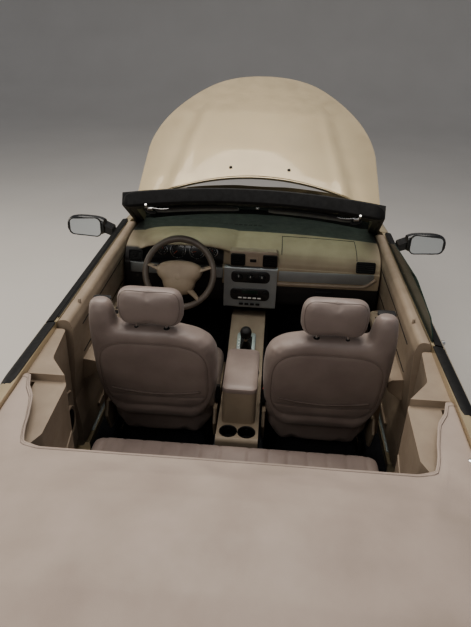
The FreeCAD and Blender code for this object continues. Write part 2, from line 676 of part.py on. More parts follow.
def floor_pan():
    """Cabin floor with its tunnel, toe board and the step up to the rear seat."""
    inner = SILL_INNER_Y - SEAT_GAP
    plate = block((-1120, FIREWALL_X), (-inner, inner), (FLOOR_Z, FLOOR_Z + FLOOR_PLATE))
    tunnel = [(-120, FLOOR_Z, 0), (-104, 372, 40), (104, 372, 40), (120, FLOOR_Z, 0)]
    step = [(-700, FLOOR_Z, 0), (-760, 372, 20), (-1120, 372, 20), (-1120, FLOOR_Z, 0)]
    toe = [(FIREWALL_X, FLOOR_Z, 0), (700, FLOOR_Z, 0), (FIREWALL_X - 14, 480, 0), (FIREWALL_X, 480, 0)]
    pieces = [plate, slab_x(tunnel, (-1100, FIREWALL_X)), slab_y(step, (-560, 560)), slab_y(toe, (-440, 440))]
    floor = fused(pieces)
    for wheel_room in pair(block((-1130, REAR_AXLE_X + ARCH_RADIUS + 10), (585, 700), (200, 500))):
        floor = floor.cut(wheel_room)
    return floor


def front_structure():
    """Firewall, side rails, aprons with strut towers, radiator support and bumper beam."""
    wall = block((FIREWALL_X + SEAT_GAP, FIREWALL_X + 14), (-738, 738), (260, 866))
    wheel_space = Part.makeCylinder(ARCH_RADIUS + 14, 2000, Vector(FRONT_AXLE_X, -1000, TYRE_RADIUS), Vector(0, 1, 0))
    tie = block((2098, 2124), (-520, 520), (330, 730)).cut(block((2080, 2150), (-400, 400), (372, 690)))
    beam = block((2240, 2290), (-460, 460), (440, 530))
    pieces = [wall.cut(wheel_space), tie, beam]
    for side in (1, -1):
        y = sorted((side * 400, side * 462))
        pieces.append(block((FIREWALL_X + 10, 2110), y, (380, 470)))
        y = sorted((side * 448, side * 462))
        pieces.append(block((FIREWALL_X + 10, 2110), y, (460, 742)))
        y = sorted((side * 448, side * 722))
        pieces.append(block((FIREWALL_X + 10, NOSE_JOINT_X - 8), y, (728, 742)))
        tower = Part.makeCylinder(96, 80, Vector(FRONT_AXLE_X, side * STRUT_Y, 705))
        pieces.append(tower)
        y = sorted((side * 408, side * 456))
        pieces.append(block((2110, 2250), y, (445, 525)))
    return fused(pieces)


def rear_structure():
    """Trunk tub: its floor, side walls, seat bulkhead and tail panel, with the rails and bumper beam below."""
    floor = block((-2250, -1284), (-430, 430), (372, 386))
    bulkhead = block((-1298, -1284), (-560, 560), (372, 900))
    tail = block((-2264, -2250), (-430, 430), (372, 690))
    beam = block((-2370, -2330), (-400, 400), (430, 530))
    pieces = [floor, bulkhead, tail, beam]
    for side in (1, -1):
        pieces.append(block((-2250, -1284), sorted((side * 418, side * 430)), (372, 780)))
        pieces.append(block((-2250, -1120 - SEAT_GAP), sorted((side * 440, side * 500)), (300, 371.5)))
        pieces.append(block((-2250, -1284), sorted((side * 418, side * 500)), (365, 386)))
        pieces.append(block((-2340, -2240), sorted((side * 250, side * 300)), (440, 520)))
    return fused(pieces)


def wheel_liners(core):
    """Black liners over the left wheels, out to the inner faces of the panels round them."""
    liners = []
    for axle_x, inner, outer in ((FRONT_AXLE_X, 466, 860), (REAR_AXLE_X, 602, 760)):
        shell = arch(axle_x, (inner, outer), 14).cut(arch(axle_x, (inner + 8, outer + 10), 4))
        lower = block((axle_x - 500, axle_x + 500), (400, 1000), (-200, TYRE_RADIUS))
        strut = Part.makeCylinder(100, 400, Vector(axle_x, STRUT_Y, 500))
        carrier = block((axle_x - 60, axle_x + 60), (560, 660), (200, 440))
        room = core if axle_x > 0 else slab_z(cabin_plan(SEAT_GAP), (100, 1200))
        liners.append(shell.cut(lower).cut(strut).cut(carrier).common(room))
    return liners


def plan_loft(rows):
    """Rounded plan sections lofted upward. Columns: z, front x, rear x, one side's y, the other's y, corner radius."""
    wires = []
    for z, front, rear, first, second, radius in rows:
        corners = [(front, first, radius), (front, second, radius), (rear, second, radius), (rear, first, radius)]
        wires.append(rounded(corners, at_z(z)))
    return Part.makeLoft(wires, True, False)


# Front seat, from its own middle. Columns: z, front x, rear x, inner y, outer y, corner radius.
SEAT_BASE = [
    (300, 60, -430, -190, 190, 40),
    (400, 95, -430, -240, 240, 60),
    (500, 120, -440, -262, 262, 70),
    (535, 90, -440, -240, 240, 80),
]
SEAT_BACK = [
    (470, -330, -480, -220, 220, 55),
    (600, -352, -520, -262, 262, 60),
    (800, -400, -575, -268, 268, 66),
    (905, -440, -600, -250, 264, 62),
    (960, -478, -600, -150, 262, 50),
]
SEAT_TOWER = [
    (940, -470, -600, 130, 260, 40),
    (1020, -500, -604, 142, 256, 40),
    (1075, -515, -600, 150, 250, 36),
    (1092, -530, -590, 165, 236, 26),
]
HEADREST = [
    (985, -520, -590, -112, 112, 32),
    (1020, -500, -600, -134, 134, 40),
    (1100, -512, -612, -136, 136, 42),
    (1140, -530, -606, -120, 120, 34),
    (1151, -550, -590, -96, 96, 18),
]


def front_seat():
    """Left front seat, with its outboard belt tower and headrest."""
    placed = []
    for rows in (SEAT_BASE, SEAT_BACK, SEAT_TOWER, HEADREST):
        moved = [(z, f, r, SEAT_Y + a, SEAT_Y + b, rad) for z, f, r, a, b, rad in rows]
        placed.append(plan_loft(moved))
    for y in (-60, 60):
        placed.append(rod(7, (-560, SEAT_Y + y, 900), (-560, SEAT_Y + y, 1040)))
    for y in (SEAT_Y - 170, SEAT_Y + 170):
        placed.append(block((-400, 40), (y - 22, y + 22), (FLOOR_Z + FLOOR_PLATE + SEAT_GAP, 330)))
    return fused(placed)


def rear_seat():
    """Rear bench and its back."""
    bench = [(-724, 380, 20), (-716, 560, 46), (-900, 560, 60), (-1085, 500, 20), (-1085, 372 + SEAT_GAP, 0), (-760, 372 + SEAT_GAP, 0)]
    back = [
        (-1080, 420, 0),
        (-1080, 520, 20),
        (-1172, 872, 26),
        (-1240, 885, 20),
        (-1280, 700, 0),
        (-1280, 388, 0),
        (-1122, 388, 0),
    ]
    return fused([slab_y(bench, (-575, 575)), slab_y(back, (-560, 560))])


def quarter_trim(cover):
    """Left trim panel beside the rear seat, over the wheelhouse and under the boot cover's corner."""
    plan = [
        (DOOR_REAR_X - 12, 760, 0),
        (DOOR_REAR_X - 12, 712, 20),
        (-760, 690, 60),
        (-880, 600, 60),
        (-1150, 590, 30),
        (-1270, 640, 0),
        (-1270, 760, 0),
    ]
    piece = slab_z(plan, (375, 930))
    piece = piece.common(slab_z(cabin_plan(SEAT_GAP), (300, 1300)))
    piece = piece.cut(arch(REAR_AXLE_X, (450, 980), 14 + SEAT_GAP))
    piece = piece.cut(block((-1300, BOOT_CORNER_X + 12), (500, 800), (902, 1000)))
    lowered = cover.copy()
    lowered.translate(Vector(0, 0, -JOINT_GAP))
    piece = piece.cut(lowered).cut(door_swing(PANEL_GAP))
    return max(piece.Solids, key=lambda solid: solid.Volume)


# Boot cover's sections. Columns: x, height at the rails, height at the middle.
BOOT = [
    (-1900, 962, 1004),
    (-1838, 964, 1020),
    (-1760, 968, 1038),
    (-1620, 968, 1050),
    (-1500, 962, 1042),
    (-1400, 952, 1014),
    (-1320, 943, 974),
    (-1255, 936, 948),
    (-1120, 936, 945),
    (-1000, 939, 945),
    (-850, 942, 948),
]


def boot_cover():
    """Soft cover over the folded top, with its two front corners drawn forward along the rails."""
    wires = [crown_section(x, 760.0, edge, crest, 34.0) for x, edge, crest in BOOT]
    sheet = Part.makeLoft(wires, True, False)
    edge = [
        (-1262, 560, 60),
        (-1225, 640, 40),
        (-1130, 624, 50),
        (-1010, 672, 50),
        (-950, 712, 50),
        (BOOT_CORNER_X, 716, 0),
    ]
    rear = [(BOOT_CORNER_X, 770, 0), (WELL_REAR_X - 40, 770, 0)]
    plan = [(-1270, 0, 1400)] + edge + rear + [(x, -y, r) for x, y, r in reversed(rear)]
    plan += [(x, -y, r) for x, y, r in reversed(edge)]
    sheet = sheet.common(slab_z(plan, (700, 1200)))
    return sheet.common(slab_z(cabin_plan(SEAT_GAP), (700, 1300)))


def dashboard():
    """Dashboard with the instrument hood in front of the driver, and the steering column."""
    profile = [
        (350, 640, 30),
        (318, 760, 30),
        (322, 880, 30),
        (370, 950, 50),
        (470, 972, 80),
        (FIREWALL_X, 948, 0),
        (FIREWALL_X, 720, 20),
        (520, 640, 40),
    ]
    pad = slab_y(profile, (-688, 688))
    middle = STEERING_WHEEL[1]
    brow = [(330, 930, 20), (345, 992, 24), (430, 1008, 40), (640, 960, 10), (640, 900, 0), (340, 900, 0)]
    hood_piece = slab_y(brow, (middle - COWL_REACH, middle + COWL_REACH))
    crown = [(middle - COWL_REACH - 8, 880, 0), (middle - COWL_REACH + 14, 960, 40), (middle - 120, 1012, 160)]
    crown += [(2 * middle - a, b, r) for a, b, r in reversed(crown)]
    hood_piece = hood_piece.common(slab_x(crown, (250, 700)))
    reach = COWL_REACH - 42
    dials = slab_x([(middle - reach, 872, 30), (middle - reach, 950, 40), (middle - 100, 978, 90), (middle + 100, 978, 90),
                    (middle + reach, 950, 40), (middle + reach, 872, 30)], (300, 388))
    axis = Vector(math.cos(math.radians(STEERING_TILT)), 0, -math.sin(math.radians(STEERING_TILT)))
    start = Vector(*STEERING_WHEEL) + axis * (STEERING_BOSS + SEAT_GAP)
    column = Part.makeCylinder(38, 220, start, axis)
    under_screen = screen_slab(-0.3, 0.6, -80, -300, FRAME_DEPTH + 2)
    whole = fused([pad, hood_piece]).cut(dials).cut(under_screen)
    return whole.fuse(column).removeSplitter()


def centre_stack(board):
    """Bezel with the climate panel and the radio."""
    piece = slab_y([(360, 640, 0), (283, 640, 10), (300, 872, 10), (360, 884, 0)], (-STACK_HALF, STACK_HALF))
    return piece.cut(board)


def console():
    """Console between the seats: a gear selector, an armrest and four cup holders."""
    profile = [
        (430, 372 + SEAT_GAP, 0),
        (425, 560, 30),
        (270, 600, 20),
        (60, 520, 60),
        (-150, 470, 30),
        (-610, 470, 20),
        (-620, 372 + SEAT_GAP, 0),
    ]
    body = slab_y(profile, (-92, 92))
    rest = rounded_block((-500, -170), (-74, 74), (460, 650), 24)
    knob = Part.makeSphere(27, Vector(-20, 0, 660))
    stalk = rod(9, (30, 0, 500), (-20, 0, 660))
    whole = fused([body, rest, stalk, knob])
    for x, y in ((-556, -40), (-556, 40), (-105, -40), (-105, 40)):
        whole = whole.cut(Part.makeCylinder(35, 90, Vector(x, y, 420)))
    return whole


def nose_pieces():
    """Front bumper cover, headlamps and grilles, cut from the nose's wall."""
    shell = end_wall("nose", NOSE_DEPTH, FASCIA_WALL).cut(hood_column(PANEL_GAP))
    lamp = [(452, 604, 30), (440, 664, 30), (520, 712, 40), (840, 780, 10), (840, 640, 50), (640, 596, 60)]
    window = slab_x(lamp, (1935, 2520))
    lamps = [shell.common(window), shell.common(flip(window))]
    hole = Part.Face(rounded(lamp, at_x(1935 - JOINT_GAP))).makeOffset2D(SEAT_GAP).extrude(Vector(600, 0, 0))
    grille_hole = [(-385, 668, 30), (-330, 556, 60), (330, 556, 60), (385, 668, 30), (350, 684, 20), (-350, 684, 20)]
    intake_hole = [(-420, 392, 30), (-395, 270, 30), (395, 270, 30), (420, 392, 30)]
    fascia = shell.cut(hole).cut(flip(hole))
    fascia = fascia.cut(slab_x(grille_hole, (2200, 2520))).cut(slab_x(intake_hole, (2200, 2520)))
    fascia = fascia.common(block((NOSE_JOINT_X, 2600), (-1000, 1000), (100, 1200)))
    return fascia, lamps, [mesh(grille_hole, 26, 42), mesh(intake_hole, 34, 70)]


def nose_face_x(y, z, back):
    """How far ahead the nose's face lies, set back along the car. Above the waist it leans rearward."""
    lean = max(0.0, z - WAIST_Z) * 0.30 + max(0.0, WAIST_Z - z) * 0.14
    return NOSE_X - END_SETBACK + WAIST_BULGE - NOSE_ARC_RADIUS + math.sqrt(NOSE_ARC_RADIUS**2 - y**2) - lean - back


def mesh(opening, row_pitch, column_pitch):
    """Crossed bars that fill a nose opening, following the nose's curve and lean."""
    low_y, high_y = min(p[0] for p in opening), max(p[0] for p in opening)
    low_z, high_z = min(p[1] for p in opening), max(p[1] for p in opening)
    bars = []
    z = low_z + row_pitch / 2
    while z < high_z:
        front = Part.Arc(*[Vector(nose_face_x(y, z, 12), y, z - 4) for y in (low_y, 0, high_y)]).toShape()
        back = Part.Arc(*[Vector(nose_face_x(y, z, 46), y, z - 4) for y in (high_y, 0, low_y)]).toShape()
        ends = [Part.LineSegment(Vector(nose_face_x(y, z, a), y, z - 4), Vector(nose_face_x(y, z, b), y, z - 4)).toShape()
                for y, a, b in ((high_y, 12, 46), (low_y, 46, 12))]
        bars.append(Part.Face(Part.Wire([front, ends[0], back, ends[1]])).extrude(Vector(0, 0, 8)))
        z += row_pitch
    for i in range(-20, 21):
        y = i * column_pitch
        if low_y < y < high_y:
            side = [(nose_face_x(y, z, back), z, 0) for z, back in ((low_z, 44), (low_z, 16), (high_z, 16), (high_z, 44))]
            bars.append(slab_y(side, (y - 3, y + 3)))
    return fused(bars).common(slab_x(opening, (2200, 2520)))


def window_right(hull):
    """Passenger's side glass, a little above the door, in the slot between its shell and its trim."""
    y = -(DOOR_INNER_Y + 6)
    points = [(-515, 925, 0), (-500, 975, 30), (-430, 1020, 60), (-115, 1052, 400), (420, 1005, 60), (590, 945, 0), (590, 925, 0)]
    return slab_y(points, (y - 2.5, y + 2.5)).cut(flip(hull))


def across_bank(x, z, lean, half, y):
    """A cylinder bank's cover: a rounded block between two y values, leaned about the car's width."""
    points = [(-half, -34, 10), (half, -34, 10), (half, 22, 16), (half * 0.55, 40, 14), (-half * 0.55, 40, 14), (-half, 22, 16)]
    cover = slab_y(points, y)
    cover.rotate(Vector(0, 0, 0), Vector(0, 1, 0), lean)
    cover.translate(Vector(x, 0, z))
    return cover


def engine():
    """Transverse six-cylinder engine: two leaned banks, an intake plenum with six runners, and the gearbox."""
    block_piece = rounded_block((1500, 1830), (-320, 80), (300, 600), 30)
    gearbox = rounded_block((1510, 1780), (70, 380), (300, 520), 60)
    bell = rod(150, (1650, 60, 440), (1650, 150, 440))
    shapes = [block_piece, gearbox, bell]
    for x, lean in ((1545, -28), (1790, 28)):
        bank = slab_y([(-62, -120, 0), (62, -120, 0), (62, 40, 10), (-62, 40, 10)], (-285, 75))
        bank.rotate(Vector(0, 0, 0), Vector(0, 1, 0), lean)
        bank.translate(Vector(x, 0, 610))
        shapes += [bank, across_bank(x + (36 if lean > 0 else -36), 668, lean, 66, (-290, 80))]
    plenum = slab_y([(1560, 700, 20), (1560, 758, 24), (1600, 778, 30), (1740, 766, 30), (1760, 720, 24), (1740, 690, 10)], (-240, 60))
    throttle = rod(38, (1640, 50, 735), (1640, 150, 735))
    shapes += [plenum, throttle]
    for i in range(6):
        y = -210 + i * 46
        shapes.append(rod(17, (1735, y, 735), (1805, y, 650)))
    for z, x, radius in ((430, 1660, 78), (560, 1600, 42), (540, 1750, 44), (420, 1790, 52)):
        shapes.append(rod(radius, (x, -352, z), (x, -318, z)))
    shapes += [block((1600, 1700), (370, 400 - SEAT_GAP), (400, 450)), block((1600, 1700), (SEAT_GAP - 400, -312), (400, 450))]
    return fused(shapes)


def engine_bay_boxes():
    """Air cleaner, battery, fuse box, coolant and washer bottles, and the brake booster with its master cylinder."""
    air = rounded_block((1660, 1890), (250, 396), (520 + SEAT_GAP, 716), 30)
    air_lid = rounded_block((1650, 1900), (244, 396), (700, 744), 34)
    snorkel = rod(34, (1640, 151, 735), (1640, 262, 735)).fuse(rod(34, (1640, 256, 735), (1700, 300, 725)))
    battery = rounded_block((1110, 1340), (480, 660), (742.3, 842), 10)
    posts = [rod(9, (1150, y, 835), (1150, y, 856)) for y in (515, 625)]
    fuses = rounded_block((1562, 1704), (520, 650), (742.3, 786), 14)
    coolant = rounded_block((1180, 1330), (-660, -500), (742.3, 850), 40)
    cap = rod(28, (1255, -580, 845), (1255, -580, 874))
    washer = rounded_block((1562, 1704), (-650, -520), (742.3, 786), 36)
    washer_cap = rod(22, (1630, -585, 780), (1630, -585, 798))
    booster = rod(112, (FIREWALL_X + 14 + SEAT_GAP, 330, 700), (1010, 330, 700))
    booster_nose = rod(70, (1000, 330, 700), (1036, 330, 700))
    master = rod(21, (1030, 330, 700), (1150, 330, 700))
    reservoir = rounded_block((1050, 1150), (300, 360), (712, 772), 16)
    return [
        fused([air, air_lid, snorkel]),
        fused([battery] + posts),
        fuses,
        fused([coolant, cap]),
        fused([washer, washer_cap]),
        fused([booster, booster_nose, master, reservoir]),
    ]


def radiator():
    """Radiator behind its support, with its tanks, two fan shrouds and motors."""
    core = block((2072, 2097.7), (-396, 396), (372, 690))
    tanks = [block((2056, 2097.7), (-396, 396), z) for z in ((352, 384), (676, 708))]
    shapes = [core] + tanks
    for y in (-195, 195):
        shroud = rod(172, (2030, y, 530), (2074, y, 530)).cut(rod(160, (2020, y, 530), (2062, y, 530)))
        shapes += [shroud, rod(46, (2022, y, 530), (2066, y, 530))]
        for turn in range(0, 180, 45):
            bar = block((2034, 2046), (-166, 166), (-11, 11))
            bar.rotate(Vector(0, 0, 0), Vector(1, 0, 0), turn)
            bar.translate(Vector(0, y, 530))
            shapes.append(bar)
    return fused(shapes)


def front_suspension():
    """Front cross member, lower arms and struts."""
    pieces = [rounded_block((1300, 1620), (-360, 360), (196, 262), 30)]
    for side in (1, -1):
        arm = [(1330, side * 330, 10), (1440, side * 640, 24), (1480, side * 640, 24), (1600, side * 330, 10)]
        pieces.append(slab_z(arm, (200, 222)))
        pieces.append(Part.makeCylinder(24, KNUCKLE_Z[0] - SEAT_GAP - 205, Vector(FRONT_AXLE_X + 10, side * 614, 205)))
        y = sorted((side * 330, side * 450))
        pieces.append(block((1380, 1496), y, (230, 380 - SEAT_GAP)))
    low, high = KNUCKLE_Z[1] + SEAT_GAP, 705 - SEAT_GAP
    struts = [rod(26, (FRONT_AXLE_X, s * STRUT_Y, low), (FRONT_AXLE_X, s * STRUT_Y, high)) for s in (1, -1)]
    return [fused(pieces)] + struts


def knuckle():
    """Left front knuckle with its spindle."""
    carrier = rounded_block((FRONT_AXLE_X - 46, FRONT_AXLE_X + 46), (574, 640), KNUCKLE_Z, 14)
    spindle = rod(SPINDLE_RADIUS, (FRONT_AXLE_X, 600, TYRE_RADIUS), (FRONT_AXLE_X, 772, TYRE_RADIUS))
    return fused([carrier, spindle])


def rear_suspension():
    """Rear cross member, arms, hub carriers and spindles."""
    pieces = [rounded_block((-1360, -1122), (-470, 470), (218, 300 - SEAT_GAP), 30)]
    for side in (1, -1):
        pieces.append(rod(18, (REAR_AXLE_X, side * 400, 262), (REAR_AXLE_X, side * 600, 288)))
        y = sorted((side * 575, side * 640))
        pieces.append(rounded_block((REAR_AXLE_X - 44, REAR_AXLE_X + 44), y, (250, 420), 14))
        pieces.append(rod(SPINDLE_RADIUS, (REAR_AXLE_X, side * 600, TYRE_RADIUS), (REAR_AXLE_X, side * 772, TYRE_RADIUS)))
    return fused(pieces)


def exhaust():
    """Exhaust pipe with its silencer."""
    muffler = rounded_block((-2270, -2110), (-300, 300), (228, 360), 50)
    front = rod(28, (1280, 0, 186), (-1000, 0, 186))
    rise = rod(28, (-1000, 0, 186), (-1420, -60, 180))
    back = rod(28, (-1420, -60, 180), (-2130, -150, 250))
    drop = rod(26, (-2200, -250, 240), (-2300, -420, 178))
    tip = rod(26, (-2300, -420, 178), (-2425, -420, 178))
    elbows = [(28, -1000, 0, 186), (28, -1420, -60, 180), (26, -2300, -420, 178)]
    joints = [Part.makeSphere(radius, Vector(x, y, z)) for radius, x, y, z in elbows]
    hangers = [block((-2200, -2180), (y - 20, y + 20), (350, 372 - SEAT_GAP)) for y in (-180, 180)]
    return fused([muffler, front, rise, back, drop, tip] + joints + hangers)


# Tyre's section. Columns: distance from the middle plane, radius, corner radius.
TYRE_SECTION = [
    (84, 205.5, 0),
    (100, 214, 20),
    (104, 270, 90),
    (86, TYRE_RADIUS, 20),
    (-86, TYRE_RADIUS, 20),
    (-104, 270, 90),
    (-100, 214, 20),
    (-84, 205.5, 0),
]


def tyre(x, side):
    """A tyre turned about the axle line."""
    ring = turned(TYRE_SECTION)
    ring.translate(Vector(x, side * WHEEL_Y, TYRE_RADIUS))
    return ring


def turned(points):
    """A closed section of (distance out, radius, corner radius) points, turned about the axle line."""
    face = Part.Face(rounded(points, lambda p: Vector(0, p.x, p.y)))
    return face.revolve(Vector(0, 0, 0), Vector(0, 1, 0), 360)


def rim(x, side):
    """A five-spoke rim with its brake disc."""
    wide = RIM_HALF_WIDTH
    barrel = [
        (wide, RIM_RADIUS + 8, 2),
        (wide, RIM_RADIUS - RIM_BARREL, 2),
        (-wide, RIM_RADIUS - RIM_BARREL, 2),
        (-wide, RIM_RADIUS + 8, 2),
        (-wide - 6, RIM_RADIUS + 8, 1),
        (-wide - 6, RIM_RADIUS - RIM_BARREL - 6, 1),
        (wide + 6, RIM_RADIUS - RIM_BARREL - 6, 1),
        (wide + 6, RIM_RADIUS + 8, 1),
    ]
    dish = [
        (30, HUB_BORE_RADIUS, 0),
        (56, HUB_BORE_RADIUS, 6),
        (60, 80, 30),
        (86, RIM_RADIUS - 10, 6),
        (60, RIM_RADIUS - 10, 0),
        (34, 80, 20),
    ]
    wheel = turned([
        (wide, RIM_RADIUS - 0.4, 2),
        (-wide, RIM_RADIUS - 0.4, 2),
        (-wide, RIM_RADIUS - RIM_BARREL - 6, 2),
        (wide, RIM_RADIUS - RIM_BARREL - 6, 2),
    ]).fuse(turned(dish))
    for i in range(SPOKES):
        window = [(82, -26, 14), (186, -88, 30), (186, 88, 30), (82, 26, 14)]
        cutter = Part.Face(rounded(window, lambda p: Vector(p.y, 0, p.x))).extrude(Vector(0, 140, 0))
        cutter.rotate(Vector(0, 0, 0), Vector(0, 1, 0), 360.0 * (i + 0.5) / SPOKES)
        wheel = wheel.cut(cutter)
    bore = Part.makeCylinder(HUB_BORE_RADIUS, 160, Vector(0, -80, 0), Vector(0, 1, 0))
    hat = Part.makeCylinder(84, 60, Vector(0, -28, 0), Vector(0, 1, 0)).cut(bore)
    disc = Part.makeCylinder(DISC_RADIUS, DISC_THICKNESS, Vector(0, -52, 0), Vector(0, 1, 0)).cut(bore)
    wheel = wheel.multiFuse([hat, disc]).removeSplitter()
    if side < 0:
        wheel = flip(wheel)
    wheel.translate(Vector(x, side * WHEEL_Y, TYRE_RADIUS))
    return wheel


def steering_wheel():
    """Rim, hub pad and four spokes, tilted towards the driver."""
    ring = Part.makeTorus(STEERING_RADIUS - STEERING_GRIP, STEERING_GRIP)
    hub = slab_z([(-62, -70, 26), (66, -60, 26), (66, 60, 26), (-62, 70, 26)], (-30, 6))
    pieces = [ring, hub]
    for end in ((40, 170), (-62, 162)):
        for s in (1, -1):
            pieces.append(rod(11, (0, 0, -14), (end[0], s * end[1], 0)))
    pieces.append(Part.makeCylinder(30, STEERING_BOSS - 24, Vector(0, 0, -STEERING_BOSS)))
    wheel = fused(pieces)
    wheel.rotate(Vector(0, 0, 0), Vector(0, 1, 0), STEERING_TILT - 90)
    wheel.translate(Vector(*STEERING_WHEEL))
    return wheel


def export(name, shapes):
    """Writes one node's solids as a STEP file."""
    solids = []
    for shape in shapes if isinstance(shapes, (list, tuple)) else [shapes]:
        solids += shape.Solids
    for solid in solids:
        if not solid.isValid():
            print("not valid:", name)
    whole = solids[0] if len(solids) == 1 else Part.makeCompound(solids)
    whole.exportStep(f"parts/{name}.step")
    box = whole.BoundBox
    print(
        f"{name}: {len(solids)} solids {sum(s.Volume for s in solids) / 1e6:.1f} l",
        f"x {box.XMin:.0f} {box.XMax:.0f} y {box.YMin:.0f} {box.YMax:.0f} z {box.ZMin:.0f} {box.ZMax:.0f}",
    )


def build():
    """Makes every node of the car."""
    os.makedirs("parts", exist_ok=True)
    hull = middle_body()
    core = middle_body(FENDER_WALL, TOP_WALL)
    lid, lamps, quarter_end, bumper = tail_pieces(tail_shell())
    fascia, headlamps, grille = nose_pieces()
    frame, glass, header_trim, visors = windshield_pieces()
    left_door = door(hull)
    left_strip = belt_strip(hull)
    left_mirror = mirror(hull).cut(left_strip)
    left_quarter = quarter(hull).fuse(quarter_end).removeSplitter()
    left_seat = front_seat()
    board = dashboard()
    liners = wheel_liners(core)
    cover = boot_cover()
    export("front_fenders", pair(fender(hull, core)))
    export("hood", hood())
    export("door_left", left_door)
    export("door_right", flip(left_door))
    export("door_trim_left", door_trim())
    export("door_trim_right", flip(door_trim()))
    export("belt_strip_left", left_strip)
    export("belt_strip_right", flip(left_strip))
    export("mirror_left", left_mirror)
    export("mirror_right", flip(left_mirror))
    export("window_right", window_right(hull))
    export("quarter_panels", pair(left_quarter))
    export("trunk_lid", lid)
    export("tail_lamps", lamps)
    export("rear_fascia", bumper)
    export("front_fascia", fascia)
    export("headlamps", headlamps)
    export("grille", grille)
    export("windshield_frame", frame)
    export("windshield", glass)
    export("header_trim", header_trim)
    export("sun_visors", visors)
    export("cowl", cowl())
    export("sills", pair(sill(hull)))
    export("floor_pan", floor_pan())
    export("front_structure", front_structure())
    export("rear_structure", rear_structure())
    export("wheel_liners", liners + [flip(s) for s in liners])
    export("seat_left", left_seat)
    export("seat_right", flip(left_seat))
    export("rear_seat", rear_seat())
    export("quarter_trims", pair(quarter_trim(cover)))
    export("boot_cover", cover)
    export("dashboard", board)
    export("centre_stack", centre_stack(board))
    export("console", console())
    export("engine", engine())
    export("engine_bay_boxes", engine_bay_boxes())
    export("radiator", radiator())
    export("front_suspension", front_suspension())
    export("rear_suspension", rear_suspension())
    export("exhaust", exhaust())
    export("knuckle_left", knuckle())
    export("knuckle_right", flip(knuckle()))
    export("steering_wheel", steering_wheel())
    for axle, x in (("front", FRONT_AXLE_X), ("rear", REAR_AXLE_X)):
        for hand, side in (("left", 1), ("right", -1)):
            export(f"tyre_{axle}_{hand}", tyre(x, side))
            export(f"rim_{axle}_{hand}", rim(x, side))


build()
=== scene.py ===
"""Looks of a four-seat convertible car, its hood propped open and its folded top under a soft boot cover.

Everything is in metres. +X is ahead, +Y is the driver's side, and the tyres stand on z = 0.
"""
import math
import bmesh
import bpy
import numpy as np
from mathutils import Matrix, Vector
from mathutils.bvhtree import BVHTree


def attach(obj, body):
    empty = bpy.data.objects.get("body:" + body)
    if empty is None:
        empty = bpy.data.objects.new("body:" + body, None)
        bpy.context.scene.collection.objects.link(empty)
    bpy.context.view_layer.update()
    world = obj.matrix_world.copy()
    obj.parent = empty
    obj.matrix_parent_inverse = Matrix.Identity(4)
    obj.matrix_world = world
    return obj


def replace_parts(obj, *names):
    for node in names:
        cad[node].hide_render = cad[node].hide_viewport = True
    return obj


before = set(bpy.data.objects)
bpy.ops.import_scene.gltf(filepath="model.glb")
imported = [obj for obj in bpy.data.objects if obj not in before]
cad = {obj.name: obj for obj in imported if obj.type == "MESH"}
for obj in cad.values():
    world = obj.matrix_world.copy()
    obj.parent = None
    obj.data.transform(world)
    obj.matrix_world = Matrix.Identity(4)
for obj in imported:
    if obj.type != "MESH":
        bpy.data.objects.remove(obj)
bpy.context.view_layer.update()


# Studio: a pale floor that sweeps up far behind the car, a big soft light overhead and a weaker one from behind
# the viewer. The viewer stands behind the trunk and looks forward and down into the open cabin.
class Value:
    """A shader socket that adds, multiplies and compares like a number."""

    def __init__(self, finish, socket):
        self.finish = finish
        self.socket = socket

    def maths(self, operation, first, second):
        return self.finish.node("ShaderNodeMath", {"operation": operation}, {0: first, 1: second})

    def __add__(self, other):
        return self.maths("ADD", self, other)

    def __sub__(self, other):
        return self.maths("SUBTRACT", self, other)

    def __rsub__(self, other):
        return self.maths("SUBTRACT", other, self)

    def __mul__(self, other):
        return self.maths("MULTIPLY", self, other)

    def __gt__(self, other):
        return self.maths("GREATER_THAN", self, other)

    def __lt__(self, other):
        return self.maths("LESS_THAN", self, other)

    __radd__ = __add__
    __rmul__ = __mul__


